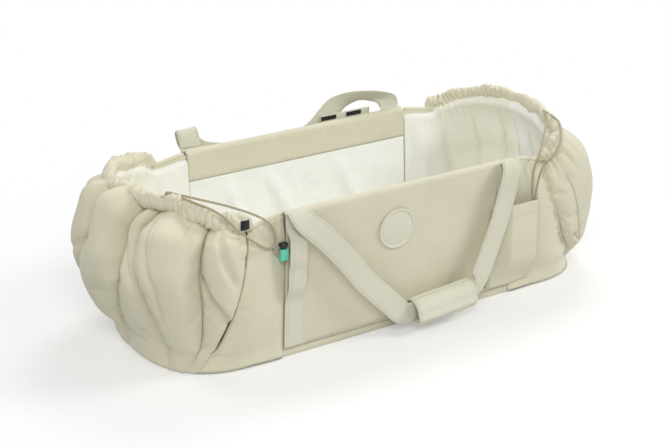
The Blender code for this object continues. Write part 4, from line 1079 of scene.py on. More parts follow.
# how far each puff rises over the hem
TOP_LIFT = {-1: (0.010, 0.014, 0.008, 0.033, 0.025, 0.014, 0.012),
            1: (0.010, 0.020, 0.011, 0.009, 0.008, 0.008)}
SMALL_CREASES = {
    -1: (((.271, 1.0), (.217, .97), (.174, .93), (.153, .88)), ((.128, .74), (.092, .62), (.05, .54)),
         ((.095, .93), (.078, .85), (.043, .74), (.012, .66)), ((.028, .94), (.019, .86), (.004, .8)),
         ((.302, .69), (.263, .55), (.223, .36), (.190, .19)),
         ((.333, .95), (.295, .85), (.246, .7), (.217, .51), (.182, .33)),
         ((.431, .85), (.396, .78), (.342, .66), (.32, .55)),
         ((.70, 1.0), (.72, .9), (.78, .85), (.86, .8), (.93, .7)),
         ((.554, .80), (.588, .76), (.675, .65), (.76, .5))),
    1: (((.05, .36), (.075, .22)), ((.10, 1.0), (.12, .9), (.13, .78)), ((.03, 1.0), (.04, .9), (.03, .8)),
        ((.065, 1.0), (.074, .9), (.086, .8), (.088, .66)), ((.24, 1.0), (.26, .92), (.25, .82)),
        ((.31, 1.0), (.30, .9), (.33, .76)), ((.50, 1.0), (.49, .82), (.52, .6)),
        ((.66, 1.0), (.65, .84), (.67, .66)), ((.79, .98), (.80, .8)), ((.93, 1.0), (.92, .82), (.94, .66))),
}
GROOVE = 0.0062
GROOVE_WIDTH = 0.0042
END_ROUND = 0.46
SHELL_COLUMNS = 150
SHELL_ROWS = 48
# the columns of the shell's grid that run along its main creases
CREASE_COLUMNS = {-1: (0, 24, 56, 76, 100, 118, 134, 150), 1: (0, 18, 64, 88, 110, 130, 150)}


def on_creases(side, s, v):
    """From the grid's share s to (share u of the way round, puff number, share across that puff)."""
    columns = CREASE_COLUMNS[side]
    column = s * SHELL_COLUMNS
    puff = max(1, min(bisect_left(columns, column - 0.001), len(columns) - 1))
    t = clamp((column - columns[puff - 1]) / (columns[puff] - columns[puff - 1]))
    across = t - 0.11 * sin(2 * pi * t)
    lines = MAIN_CREASES[side]
    return mix(on_line(lines[puff - 1], v), on_line(lines[puff], v), across), puff - 1, across


def fullness(side, puff, u, v, across):
    """How fat a puff is. The first left one ends above a slanted crease; the first right one runs on."""
    if puff > 0:
        return FULLNESS[side][puff - 1]
    if side < 0:
        return mix(0.42, 0.95, ease((v - (0.55 + (u - 0.05) * 2.4)) / 0.05 + 0.5))
    return mix(0.62, mix(1.0, 0.88, ease((v - 0.1) / 0.3)), ease(across))


def small_grooves(side, u, v):
    """Depth of the short creases in a puff, fading out at their ends."""
    depth = 0.0
    for line in SMALL_CREASES[side]:
        count = len(line) - 1
        for i, ((u0, v0), (u1, v1)) in enumerate(zip(line, line[1:])):
            run = Vector(((u1 - u0) * END_ROUND, (v1 - v0) * 0.2))
            here = Vector(((u - u0) * END_ROUND, (v - v0) * 0.2))
            t = clamp(here.dot(run) / run.length_squared)
            away = (here - run * t).length
            share = (i + t) / count
            fade = 1.0 if share < 0.5 else 1 - ease((share - 0.5) / 0.5)
            depth = max(depth, exp(-(away / GROOVE_WIDTH) ** 2) * fade * (0.45 if u0 > 0.5 else 1.0))
    return depth * GROOVE


def pleat_starts(side):
    """Where the uneven pleats along a hem start, as shares of the way round, and how high each is."""
    chance = Random(20 + side)
    starts = [0.0]
    while starts[-1] < 1:
        starts.append(starts[-1] + chance.uniform(0.016, 0.036))
    return starts, [chance.uniform(0.45, 1.0) for _ in starts]


PLEATS = {side: pleat_starts(side) for side in (-1, 1)}


def pleat(side, u):
    """Height of the pleats along a hem: sharp valleys, round ridges, from 0 to 1."""
    starts, heights = PLEATS[side]
    index = max(1, min(bisect_left(starts, clamp(u)), len(starts) - 1))
    share = (clamp(u) - starts[index - 1]) / (starts[index] - starts[index - 1])
    return heights[index] * sin(pi * clamp(share)) ** 0.7


print({side: len(starts) for side, (starts, heights) in PLEATS.items()}, "pleats under the hems")

# %% [markdown]
# ## Gathered ends
# Each end is one padded shell between two side seams. Its thickness follows the crease map, then the
# padding swells, the mesh is refined, and the short creases and the pleats under the hem are pressed in.

# %% End shells
def end_frame(side, u, v):
    """A point of the shell's inner face, the direction straight out of it, and its angle."""
    z = mix(BAND_Z + SEAM_GAP, end_top_z(mix(-TOP_SEAM_ANGLE, TOP_SEAM_ANGLE, u)), v ** 1.25)
    front = share_at(end_angle(seam_x(z, side) + GATHER_GAP, z))
    angle = angle_at(mix(-front, front, u))
    return end_point(angle, z), end_outward(angle, z), angle


CREASE_THICK = (0.014, 0.001)
OVERHANG = 0.0044
FOOT_REACH = {-1: 0.008, 1: 0.022}
# the height share above which a shell thins towards its hem
THIN_FROM = {-1: 0.90, 1: 0.84}
# thickness on top of a puff, by height: the left end is fattest high up, the right end low down
CROWNS = {-1: ((0, 0.022), (0.2, 0.026), (0.45, 0.030), (0.78, 0.038), (1, 0.034)),
          1: ((0, 0.046), (0.12, 0.047), (0.22, 0.040), (0.36, 0.031), (0.55, 0.026), (0.75, 0.023),
              (1, 0.016))}


def shell_place(side, s, v, frame):
    """The outer face of the shell: fat between creases, bulging over them and over the hem."""
    point, outward, angle = frame
    u, puff, across = on_creases(side, s, v)
    bulge = sin(pi * across)
    deep = mix(CREASE_DEPTH[side][puff], CREASE_DEPTH[side][puff + 1], ease(across))
    deep *= mix(0.2, 1.0, ease(v / 0.32))
    fat = fullness(side, puff, u, v, across) * (1 - deep * (1 - bulge ** 0.50))
    fat = mix(0.85, fat, ease((v + 0.02) / 0.30))
    crown = on_line(CROWNS[side], v) + 0.75 * drawn_in(angle, point.z)
    thick = mix(mix(*CREASE_THICK, ease(v / 0.22)), crown, fat)
    thick *= 1 - 0.80 * ease((v - THIN_FROM[side]) / (1 - THIN_FROM[side]))
    shift = -OVERHANG * cos(pi * across) * bulge ** 0.5 * fat * deep * ease((v - 0.08) / 0.3)
    lift = TOP_LIFT[side][puff] * bulge ** 1.1 * exp(-((v - 0.93) / 0.085) ** 2)
    along = Vector((-outward.y, outward.x, 0))
    place = point + outward * thick + along * shift + Vector((0, 0, lift))
    foot = 0.001 + FOOT_REACH[side] * fat * ease((v - 0.012) / 0.06)
    return over_base(place, angle, v, foot, 0.18, 0.0170)


def shell_relief(side, s, v):
    """Fine pleats under the hem, the short creases and a soft unevenness."""
    u, puff, across = on_creases(side, s, v)
    under_hem = ease((v - 0.80) / 0.18)
    soft = 0.0009 * noise.noise(Vector((u * 20, v * 6, 5 + side)))
    crown = sin(pi * across) ** 0.5
    return (0.0020 * under_hem * (pleat(side, u) - 0.45) - small_grooves(side, u, v) + soft) * crown


def shell_held(side, s, v, mark):
    """1 where the shell is sewn down or hidden, less towards the tops of the puffs."""
    if mark or min(s, 1 - s, 1 - v) < 0.012 or v < 0.03:
        return 1.0
    across = on_creases(side, s, v)[2]
    return clamp(1.35 - 2.4 * sin(pi * across) ** 0.5)


for side, end in ENDS:
    frames = {}

    def shell_point(s, v, layer):
        key = (round(s, 5), round(v, 5))
        if key not in frames:
            frames[key] = end_frame(side, on_creases(side, s, v)[0], v)
        return sided(shell_place(side, s, v, frames[key]) if layer else frames[key][0], side)

    shape = pad_shape(SHELL_COLUMNS, SHELL_ROWS, shell_point, (END_ROUND, 0.23))
    cloth = cloth_layer(shape)
    held = [shell_held(side, *vertex[cloth]) for vertex in shape.verts]
    swell(shape, held, pressure=7.0, spare=0.010, cap=0.004, bending=3.0)
    refine(shape)
    relief(shape, partial(shell_relief, side))
    shell = finish_piece(end + "_gathered_shell", shape, STONE, end + "_end_shell")


# %% [markdown]
# ## Side panels
# Between a stiff wall and the gathers lies a smooth padded panel. It is sewn to both, so it is thinner at
# its edges, with small puckers beside the gathered seam.

# %% Side panels
def panel_place(side, face, u, v, padded):
    z = mix(BAND_Z + SEAM_GAP, mix(RIM_Z - PANEL_DROP, end_top_z(TOP_SEAM_ANGLE), ease(u)), v ** 1.25)
    x = mix(WALL_HALF + SEAM_GAP, seam_x(z, side), u)
    angle = end_angle(x, z) * face
    thick = mix(SIDE_PAD, SIDE_PAD_EDGE, ease((u - 0.6) / 0.4)) * mix(1.0, 0.55, ease((v - 0.85) / 0.15))
    at_wall = 1 - 0.10 * (1 - ease(u / 0.06))
    foot = 0.85 * FOOT_REACH[side] * ease((u - 0.25) / 0.75)
    thick += foot * (1 - ease(v / 0.4))
    point = end_point(angle, z) + end_outward(angle, z) * (thick * padded * at_wall)
    if padded and u > 0.02:
        reach_out = FIT + (0.0011 + foot) * ease((v - 0.010) / 0.025)
        point = over_base(point, angle, v, reach_out, 0.10, 0.0150)
    return sided(point, side)


def panel_relief(u, v, seed):
    """Puckers beside the gathered seam and the rim, and one soft fold low down."""
    pucker = 0.0007 * ease((u - 0.7) / 0.3) * sin(v * 60 + 2 * sin(v * 17 + seed))
    fold = -0.0011 * exp(-((u - 0.42 - 0.05 * v) / 0.045) ** 2) * plateau(v, 0.08, 0.16, 0.3, 0.5)
    rim_pucker = 0.0009 * ease((v - 0.86) / 0.14) * sin(u * 34 + seed)
    return pucker + fold + rim_pucker + 0.0009 * noise.noise(Vector((u * 3, v * 4, seed * 3.7)))


for side, end in ENDS:
    for face, row in WALLS:
        shape = pad_shape(30, 56, partial(panel_place, side, face), (0.085, 0.21))
        relief(shape, partial(panel_relief, seed=side + 2 * face))
        panel = finish_piece(row + "_" + end + "_padded_panel", shape, STONE, row + "_" + end + "_side_panel")


# %% [markdown]
# A thin piping covers the seam between a panel and the gathers. It is a tube that lies in the seam.

# %% Seam piping
PIPING_RADIUS = 0.0013
IN_SEAM = 0.985

for side, end in ENDS:
    for face, row in WALLS:
        points = []
        for i in range(41):
            v = mix(0.05, 0.95, i / 40)
            here = panel_place(side, face, IN_SEAM, v, 1)
            inner_face = panel_place(side, face, IN_SEAM, v, 0)
            points.append(here + (here - inner_face).normalized() * FIT)
        shape = tube_shape(points, end_radius(PIPING_RADIUS, margin=0.004), 8, 110, (0.008, 0.2))
        finish_piece(row + "_" + end + "_seam_piping", shape, STONE)


# %% [markdown]
# ## Ruffled hems
# The hem is a channel of cloth pushed together on its cord, so it is covered in pleats that run across it:
# round ridges with sharp valleys between them. Some stretches are bunched into knots and others are nearly
# smooth. It is a tube along the rim, taller than it is wide, whose radius is given by those ridges.

# %% Hems
RIDGE_PITCH = 0.0082
EDGE_RADIUS = 0.0034
# bunched places: share along the hem from the front wall, half width, strength
KNOTS = {-1: ((0.13, 0.035, 0.9), (0.21, 0.04, 1.0), (0.30, 0.03, 1.4), (0.46, 0.03, 0.9), (0.55, 0.03, 1.0),
              (0.66, 0.03, 0.7), (0.76, 0.06, 1.4), (0.86, 0.03, 0.8)),
         1: ((0.14, 0.05, 1.2), (0.28, 0.05, 1.3), (0.47, 0.03, 1.1), (0.67, 0.024, 1.6), (0.84, 0.06, 1.2))}


def on_gathers(x):
    """0 over the side panels, 1 over the gathers."""
    return ease((x - TOP_SEAM_X + 0.010) / 0.018)


def hem_line(side):
    """Along the gathered rim, then on over the side panels to the stiff walls."""
    last = end_angle(WALL_HALF + 0.003, SEAM_TOP_Z)
    points = []
    for i in range(121):
        angle = mix(-last, last, i / 120)
        gathered = on_gathers(end_point(angle, SEAM_TOP_Z).x)
        z = mix(rim_top(angle), end_top_z(angle) + HEM_LIFT, gathered)
        point = end_point(angle, end_top_z(angle), inset=mix(-0.0038, -0.0068, gathered))
        points.append(sided(Vector((point.x, point.y, z)), side))
    return spaced(points, 0.006)


def wandering(side, i, point):
    """Where it is gathered, the hem also rises and falls a little."""
    rise = 0.0050 * noise.noise(Vector((i * 0.24, side, 1))) - 0.0006
    return point + Vector((0, 0, on_gathers(abs(point.x)) * rise))


def hem_ridges(side, s, run, t):
    """Height of the ridges at a share s and distance along the hem, and a share t round it."""
    knot = clamp(0.10 + sum(power * exp(-((s - at) / wide) ** 2) for at, wide, power in KNOTS[side]), 0, 1.4)
    round_way = Vector((cos(2 * pi * t), sin(2 * pi * t), 0))
    drift = noise.noise(round_way * 1.1 + Vector((0, 0, run * 55 + side)))
    phase = run / RIDGE_PITCH + 0.85 * drift + 0.3 * sin(2 * pi * t)
    tall = 0.75 + 0.7 * noise.noise(Vector((int(phase + 100) * 7.13, side, 2)))
    ridge = abs(sin(pi * phase)) ** 0.62 * tall - 0.45
    lump = noise.noise(round_way * 0.9 + Vector((5, 0, run * 42 + side)))
    return mix(0.0012, 0.0044, knot) * ridge + mix(0.0012, 0.0038, knot) * lump + 0.0012 * knot


for side, end in ENDS:
    line = hem_line(side)
    length = path_length(line)

    def hem_radius(s, t):
        gathered = on_gathers(abs(through(line, s).x))
        tall = 1 + 0.42 * gathered * sin(2 * pi * t) ** 2
        full = HEM_RADIUS + FIT + hem_ridges(side, s, s * length, t)
        return mix(EDGE_RADIUS, full, gathered) * tall * (0.3 + 0.7 * ease(min(s, 1 - s) / 0.006))

    wander = [wandering(side, i, point) for i, point in enumerate(line)]
    shape = tube_shape(wander, hem_radius, 36, 560, (0.045, length))
    hem = finish_piece(end + "_ruffled_hem", shape, STONE, end + "_hem_channel")


# %% [markdown]
# ## Stiff walls
# The outer cloth of a wall rises from the base, turns over the rim and ends as a hemmed cuff inside. It is
# one strip of cloth with a little padding, so a single profile is carried along the wall. The rim is a
# half circle. Slow waves of less than a millimetre keep the large face from looking moulded.

# %% Wall covers
COVER_THICK = 0.003
SHOULDER = RIM_Z - WALL_THICK / 2
RIM_STEPS = 12


def cover_profile():
    """(depth, height, direction outwards) from the foot over the rim and down inside."""
    radius = WALL_THICK / 2
    rows = [(0.0, mix(BAND_Z + SEAM_GAP, SHOULDER, i / 34), (-1, 0)) for i in range(34)]
    for i in range(RIM_STEPS + 1):
        turn = pi * i / RIM_STEPS
        rows.append((radius - radius * cos(turn), SHOULDER + radius * sin(turn), (-cos(turn), sin(turn))))
    rows += [(WALL_THICK, mix(SHOULDER, RIM_Z - CUFF, i / 10), (1, 0)) for i in range(1, 11)]
    return rows


COVER = cover_profile()
COVER_LONG = 0.27


def cover_place(face, u, v, outer):
    depth, z, (out, up) = COVER[round(v * (len(COVER) - 1))]
    x = mix(-WALL_HALF, WALL_HALF, u)
    skin = 0.0 if outer else COVER_THICK
    crown = wall_crown(x, z) if depth == 0 and outer else 0
    return Vector((x, face * (wall_half_width(z) - depth + crown + out * skin), z - up * skin))


def cover_relief(u, v, seed):
    """Slow and fine waves, the sunk seams at the foot and the cuff, and small puckers along the rim."""
    x, high = u * 2 * WALL_HALF, v * COVER_LONG
    slow = noise.noise(Vector((x * 11, high * 13, seed))) * 0.0010
    fine = noise.noise(Vector((x * 38, high * 38, seed + 4))) * 0.0003
    edge = min(u, 1 - u, v, 1 - v)
    seam = 0.0006 * exp(-(v / 0.012) ** 2) - 0.0007 * exp(-((v - 0.022) / 0.007) ** 2)
    cuff = -0.0005 * exp(-((v - 0.972) / 0.006) ** 2)
    rim = 0.0005 * sin(x * 190 + 2 * sin(x * 41 + seed)) * exp(-((v - 0.79) / 0.05) ** 2)
    return (slow + fine) * ease(edge / 0.05) + seam + cuff + rim


for face, row in WALLS:
    shape = pad_shape(110, len(COVER) - 1, partial(cover_place, face), (2 * WALL_HALF, 0.265))
    relief(shape, partial(cover_relief, seed=face))
    cover = finish_piece(row + "_wall_cloth", shape, STONE, row + "_wall_cover")


# %% [markdown]
# Behind the cloth stand a sheet of foam and a board. They only show in a cut, so the foam is a plain
# padded sheet and the board keeps its CAD mesh. Inside hangs a knitted air mesh. It is sewn on along the
# cuff and hangs a little loose, so it falls in a few soft folds that start at the seam.

# %% Foam and air mesh
FOAM_HALF = 0.188
FOAM_THICK = 0.0052
MESH_THICK = 0.0022


def foam_place(face, u, v, outer):
    z = mix(BAND_Z + 0.0012, SHOULDER - 0.0008, v)
    depth = COVER_THICK + FIT + (0 if outer else FOAM_THICK)
    return Vector((mix(-FOAM_HALF, FOAM_HALF, u), face * (wall_half_width(z) - depth), z))


MESH_DEPTH = COVER_THICK + 3 * FIT + FOAM_THICK + 0.003
# the mesh's folds: place along the wall, slant, width and height
FOLDS = ((0.13, 0.10, 0.024, 0.0050), (0.30, 0.20, 0.032, 0.0062), (0.46, -0.12, 0.026, 0.0048),
         (0.63, 0.16, 0.030, 0.0056), (0.82, -0.10, 0.026, 0.0050))


def mesh_folds(u, v, seed):
    """How far the hanging mesh stands off: a few slanted folds, tight at its top seam."""
    loose = ease((1 - v) / 0.25) * ease(v / 0.08)
    folds = 0.0
    for place, slant, width, height in FOLDS:
        middle = place + 0.03 * seed + slant * (1 - v)
        folds += height * exp(-((u - middle) / width) ** 2)
    return loose * folds + 0.0009 * ease((1 - v) / 0.1) * noise.noise(Vector((u * 12, v * 6, seed)))


def mesh_place(face, u, v, inner):
    z = mix(BAND_Z + FIT, RIM_Z - CUFF - SEAM_GAP, v)
    x = mix(-WALL_HALF, WALL_HALF, u)
    away = 0.0006 + mesh_folds(u, v, face) + (MESH_THICK if inner else 0.0)
    return Vector((x, face * (wall_half_width(z) - MESH_DEPTH - away), z))


for face, row in WALLS:
    shape = pad_shape(24, 14, partial(foam_place, face), (2 * FOAM_HALF, 0.19))
    foam = finish_piece(row + "_wall_foam_sheet", shape, FOAM, row + "_wall_foam")
    shape = pad_shape(120, 44, partial(mesh_place, face), (2 * WALL_HALF, 0.157))
    mesh_piece = finish_piece(row + "_air_mesh", shape, MESH, row + "_wall_lining")


# %% [markdown]
# The lining of an end is a soft sheet sewn in along the hem. The drawn cord gathers it as well, so pleats
# start at the rim and run out towards the base. It is one sheet from wall to wall.

# %% End linings
LINING_GAP = 0.0026
DRAWN_GAP = 0.0030


def lining_pleats(side, u, v):
    """How far the lining stands inwards: wide panels between creases, small pleats at the rim."""
    share = (u - 0.08) / 0.84
    small = 0.0022 * ease((v - 0.66) / 0.28) * pleat(side, clamp(share + 0.03 * (1 - v)))
    slant = 1.6 * (1 - v) * (share - 0.5) + 0.35 * noise.noise(Vector((share * 7, v * 2.2, side)))
    panels = abs(sin(pi * (share * 9.5 + 0.5 * sin(share * 9 + side) + slant)))
    wide = 0.0150 * ease((v - 0.06) / 0.40) * panels ** 0.30 * (1 - 0.93 * ease((v - 0.60) / 0.32))
    return (small + wide) * plateau(u, 0.01, 0.09, 0.91, 0.99)


def lining_place(side, u, v, inner):
    """The lining's top edge rolls outwards under the hem."""
    angle = angle_at(mix(-0.998, 0.998, u))
    z = mix(BAND_Z + FIT, rim_top(angle), v)
    sewn = plateau(u, 0.0, 0.05, 0.95, 1.0)
    away = 0.0008 + (LINING_GAP - 0.0008 + DRAWN_GAP * plateau(z, 0.12, 0.165, 0.17, 0.21)) * sewn
    away += 0.9 * lining_pleats(side, u, v)
    if inner:
        away += 0.0018 + 0.1 * lining_pleats(side, u, v)
    roll = ease((v - 0.93) / 0.07) ** 1.5
    over = mix(-0.0055, -0.0022, ease((end_point(angle, SEAM_TOP_Z).x - TOP_SEAM_X) / 0.01))
    return sided(end_point(angle, z - 0.001 * roll, inset=mix(away, over, roll)), side)


for side, end in ENDS:
    shape = pad_shape(220, 48, partial(lining_place, side), (0.50, 0.21))
    lining = finish_piece(end + "_gathered_lining", shape, CREAM, end + "_end_lining")


# %% [markdown]
# ## Mattress
# A thin foam mattress in a soft cover lies on the base. Its top is crowned, its side is upright, and one
# piping runs round its upper edge. It swells a little, so the cover pulls in at the piping.

# %% Mattress
MATTRESS_LONG = 0.303
MATTRESS_WIDE = 0.1135
MATTRESS_LOW = BAND_Z + FIT
MATTRESS_TALL = 0.020
MATTRESS_SIDE = 0.0125
MATTRESS_CROWN = 0.008
MATTRESS_STRAIGHT = 0.16
MATTRESS_CORNER = 2.5
MATTRESS_PIPING = 0.0014


def mattress_place(u, v, top):
    x = MATTRESS_LONG * signed_power(sin(pi * (u - 0.5)), 0.8)
    over = clamp((abs(x) - MATTRESS_STRAIGHT) / (MATTRESS_LONG - MATTRESS_STRAIGHT))
    half = MATTRESS_WIDE * max(0.001, 1 - over ** MATTRESS_CORNER) ** (1 / MATTRESS_CORNER)
    y = half * (2 * v - 1)
    rim = min(1 - abs(x) / MATTRESS_LONG, (1 - abs(2 * v - 1)) * half / MATTRESS_LONG)
    edge = ease(rim / 0.035)
    z = MATTRESS_LOW + 0.0075 * (1 - edge ** 0.5)
    if top:
        z = MATTRESS_LOW + mix(MATTRESS_SIDE, MATTRESS_TALL, edge ** 0.5) + MATTRESS_CROWN * ease(rim / 0.37)
    return Vector((x, y, z))


def mattress_held(u, v, mark):
    """1 for the underside and along the piping, 0 for the top that swells."""
    return 1.0 if mark or min(u, 1 - u, v, 1 - v) < 0.02 else 0.0


def mattress_relief(u, v):
    slow = 0.0012 * noise.noise(Vector((u * 7, v * 3, 9)))
    return slow + 0.0004 * noise.noise(Vector((u * 30, v * 12, 2)))


shape = pad_shape(96, 40, mattress_place, (2 * MATTRESS_LONG, 2 * MATTRESS_WIDE))
cloth = cloth_layer(shape)
held = [mattress_held(*vertex[cloth]) for vertex in shape.verts]
swell(shape, held, pressure=1.5, spare=0.006, cap=0.004)
relief(shape, mattress_relief)
mattress = finish_piece("lie_flat_mattress", shape, LINING, "mattress")
piping = [mattress_place(i / 60, 0, True) + Vector((0, -0.0005, -0.002)) for i in range(61)]
piping += [mattress_place(1 - i / 60, 1, True) + Vector((0, 0.0005, -0.002)) for i in range(61)]
shape = tube_shape(piping + piping[:1], lambda s, t: MATTRESS_PIPING, 8, 420, (0.009, 1.5))
finish_piece("mattress_piping", shape, LINING)

# %% [markdown]
# ## Anchor straps
# Four straps are sewn up the walls, and the handles pull on them. They are webbing: flat, with soft edges
# and two rows of stitches along each side. The front left one stands off as a pouch round the cord lock.

# %% Anchor straps
ANCHOR_X = 0.175
STRAP_WIDTH = 0.034
ANCHOR_THICK = 0.002
ANCHOR_TOP = 0.2144
ANCHOR_LOW = BAND_Z + 0.0025
POUCH_STAND = 0.0125


def flat_strap(outward, z):
    """A strap that lies on its wall stands off nowhere."""
    return 0.0


def left_pouch(outward, z):
    """The front left strap stands off over the cord lock, and a little less over the cord's tail."""
    over_lock = plateau(z, 0.105, 0.148, 0.1785, 0.197)
    over_tail = plateau(z, 0.080, 0.112, 0.1785, 0.197) * 0.78
    return POUCH_STAND * max(over_lock, over_tail) * ease((outward + 0.0168) / 0.0095)


STITCH_LINES = (0.08, 0.17, 0.83, 0.92)


def pressed(u, lines, wide, depth):
    """A row of stitches presses a shallow groove into the cloth."""
    return depth * sum(exp(-((u - line) / wide) ** 2) for line in lines)


def anchor_place(side, face, stand_off, u, v, layer):
    x = side * ANCHOR_X + mix(-STRAP_WIDTH / 2, STRAP_WIDTH / 2, u)
    z = mix(ANCHOR_LOW, ANCHOR_TOP, v)
    soft = (1 - abs(2 * u - 1) ** 8) ** 0.5
    thick = ANCHOR_THICK * (0.5 + (layer - 0.5) * (0.35 + 0.65 * soft))
    lift = FIT + stand_off(side * x - ANCHOR_X, z) + thick
    wave = 0.00025 * noise.noise(Vector((x * 30, z * 26, face * 5)))
    lift -= layer * pressed(u, STITCH_LINES, 0.022, 0.0006)
    return Vector((x, face * (front_face_y(x, min(z, SHOULDER)) + lift + wave), z))


def anchor_line(side, face, stand_off, u):
    """A stitch line up a strap: points on its outer face, with their outward direction."""
    points = [anchor_place(side, face, stand_off, u, 0.02 + 0.9 * i / 40, 1.0) for i in range(41)]
    return [(point, Vector((0, face, 0.05))) for point in points]


for side, end in ENDS:
    for face, row in WALLS:
        stand_off = left_pouch if (side, face) == (-1, -1) else flat_strap
        name = row + "_" + end + "_anchor"
        shape = pad_shape(48, 60, partial(anchor_place, side, face, stand_off), (STRAP_WIDTH, 0.2))
        finish_piece(name + "_webbing", shape, WEBBING, name + "_strap")
        lines = [anchor_line(side, face, stand_off, u) for u in STITCH_LINES]
        stitch_row(name + "_stitches", lines)


# %% [markdown]
# ## Pocket
# The pocket at the front right is a patch of the same cloth over the strap. It bulges where the second
# cord lock sits inside. Its top edge is a folded hem with one row of stitches, its right edge has two.

# %% Pocket
POCKET_X = (0.151, 0.230)
POCKET_Z = (0.017, 0.150)
LOCK_DEPTH = 0.009
POCKET_THICK = 0.0016
POCKET_FOLD = 0.0007


def pocket_place(u, v, layer):
    """The patch lies over wall, strap and cord lock, whichever stands out most."""
    x = mix(*POCKET_X, u)
    z = mix(*POCKET_Z, v)
    over_strap = plateau(x, 0.1515, 0.1565, 0.1935, 0.218) * (ANCHOR_THICK + 0.0006)
    over_lock = plateau(x, 0.160, 0.1795, 0.2240, POCKET_X[1]) * ease((z - 0.018) / 0.050)
    flat = front_face_y(x, z) + FIT + TOUCH + over_strap
    bulge = -LOCKS[1].y + LOCK_DEPTH / 2 + 0.0006
    fold = POCKET_FOLD * plateau(v, 0.86, 0.875, 0.99, 1.01)
    wave = 0.0004 * noise.noise(Vector((x * 24, z * 16, 7))) * ease(v / 0.1) * plateau(u, 0, 0.2, 0.8, 1)
    thick = POCKET_THICK * layer * (1 - 0.55 * ease((0.03 - min(u, 1 - u, v)) / 0.03))
    y = max(flat, mix(flat, bulge, over_lock)) + max(0.0, wave) + fold * layer + thick + 0.0003
    return Vector((x, -y, z))


shape = pad_shape(48, 60, pocket_place, (0.079, 0.133))
finish_piece("front_right_patch_pocket", shape, STONE, "front_right_pocket")
ahead = Vector((0, -1, 0.05))
lines = [[(pocket_place(u, mix(0.02, 0.98, i / 30), 1.0), ahead) for i in range(31)]
         for u in (0.045, 0.93, 0.972)]
lines += [[(pocket_place(mix(0.03, 0.97, i / 20), v, 1.0), ahead) for i in range(21)]
          for v in (0.865, 0.022)]
stitch_row("pocket_stitches", lines)

# %% [markdown]
# ## Badge and label
# A round rubber badge is sewn to the front. It is blank: a raised ring round a flat middle. A spun
# profile gives it. The small black label, which folds over a seam beside the left hem, is made as a slightly
# curled square, also blank.

# %% Badge and label
BADGE_X = -0.016
BADGE_Z = 0.155
BADGE_RADIUS = 0.029
lean = atan2(RIM_HALF_WIDTH - FOOT_HALF_WIDTH, RIM_Z - BAND_Z)
badge_seat = Vector((BADGE_X, -(front_face_y(BADGE_X, BADGE_Z) + FIT + TOUCH), BADGE_Z))
badge_facing = Vector((0, -cos(lean), -sin(lean)))
badge_profile = rounded_profile([(0, 0), (BADGE_RADIUS, 0), (BADGE_RADIUS, 0.0025), (0.0264, 0.0025),
                                 (0.0259, 0.0014), (0.0248, 0.0014), (0.0244, 0.0018), (0, 0.0020)], 0.0004)
shape = turned_shape(badge_profile, badge_seat, badge_facing, 96)
finish_piece("round_badge", shape, RUBBER, "badge")

low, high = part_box("label")
label_middle = (low + high) / 2
LABEL_SIDE = 0.013
LABEL_OUT = 0.0022
LABEL_THICK = 0.0007


def label_place(u, v, layer):
    curl = 0.0012 * (u - 0.5) ** 2 * 4
    thick = LABEL_THICK * (layer - 0.5) * (1 - abs(2 * u - 1) ** 10) ** 0.5
    return label_middle + Vector((LABEL_SIDE * (u - 0.5), curl - thick - LABEL_OUT, LABEL_SIDE * (v - 0.5)))


finish_piece("small_blank_label", pad_shape(16, 16, label_place, (LABEL_SIDE, LABEL_SIDE)), LABEL, "label")

# %% [markdown]
# ## Front handle
# One strap of webbing runs from wall strap to wall strap and hangs in front of the wall. A padded sleeve
# wraps it at the bottom, with a flap that hook tape keeps shut. The strap lies flat inside the sleeve.

# %% Front strap
GRIP_LEFT = Vector((0.000, -0.164, 0.031))
GRIP_RIGHT = Vector((0.101, -0.164, 0.038))
GRIP_BORE = 0.016
GRIP_SKIN = 0.0025
STRAP_THICK = 0.0024
grip_along = (GRIP_RIGHT - GRIP_LEFT).normalized()
grip_forward = Vector((0, -1, 0))
grip_upward = grip_forward.cross(grip_along).normalized()
FRONT_CORNERS = (
    (-0.175, -0.150, 0.216), (-0.1750, -0.1540, 0.2150), (-0.1745, -0.1590, 0.2110),
    (-0.1680, -0.1640, 0.2015), (-0.156, -0.1655, 0.190), (-0.140, -0.1662, 0.174),
    (-0.120, -0.1655, 0.151), (-0.100, -0.165, 0.1265), (-0.080, -0.1643, 0.100), (-0.058, -0.164, 0.076),
    (-0.036, -0.164, 0.0535), (-0.019, -0.164, 0.0355), (-0.009, -0.164, 0.0304), (0.000, -0.164, 0.0310),
    (0.034, -0.164, 0.03336), (0.068, -0.164, 0.0357), (0.101, -0.164, 0.0380), (0.110, -0.164, 0.0386),
    (0.1215, -0.164, 0.060), (0.1325, -0.164, 0.086), (0.144, -0.164, 0.115), (0.154, -0.1645, 0.144),
    (0.1600, -0.165, 0.168), (0.1655, -0.1655, 0.188), (0.1705, -0.1640, 0.2015),
    (0.1745, -0.1590, 0.2110), (0.1750, -0.1540, 0.2150), (0.175, -0.150, 0.216))
STRAP_MESH = {"rows": 300, "columns": 30, "groove": 0.4}
front_path = [Vector(corner) for corner in FRONT_CORNERS]
front_across = []
front_widths = []
for index, point in enumerate(front_path):
    along = front_path[min(index + 1, len(front_path) - 1)] - front_path[max(index - 1, 0)]
    inside_grip = GRIP_LEFT.x - 0.01 <= point.x <= GRIP_RIGHT.x + 0.01 and point.z < 0.045
    facing = Vector((0, -abs(along.z), abs(along.y)))
    front_across.append(grip_upward if inside_grip else facing.cross(along).normalized())
    front_widths.append(2 * GRIP_BORE - 4 * FIT if inside_grip else STRAP_WIDTH)
shape = ribbon_shape(front_path, front_across, front_widths, STRAP_THICK, **STRAP_MESH)
finish_piece("front_carry_strap", shape, WEBBING, "front_handle_strap", "front_handle")


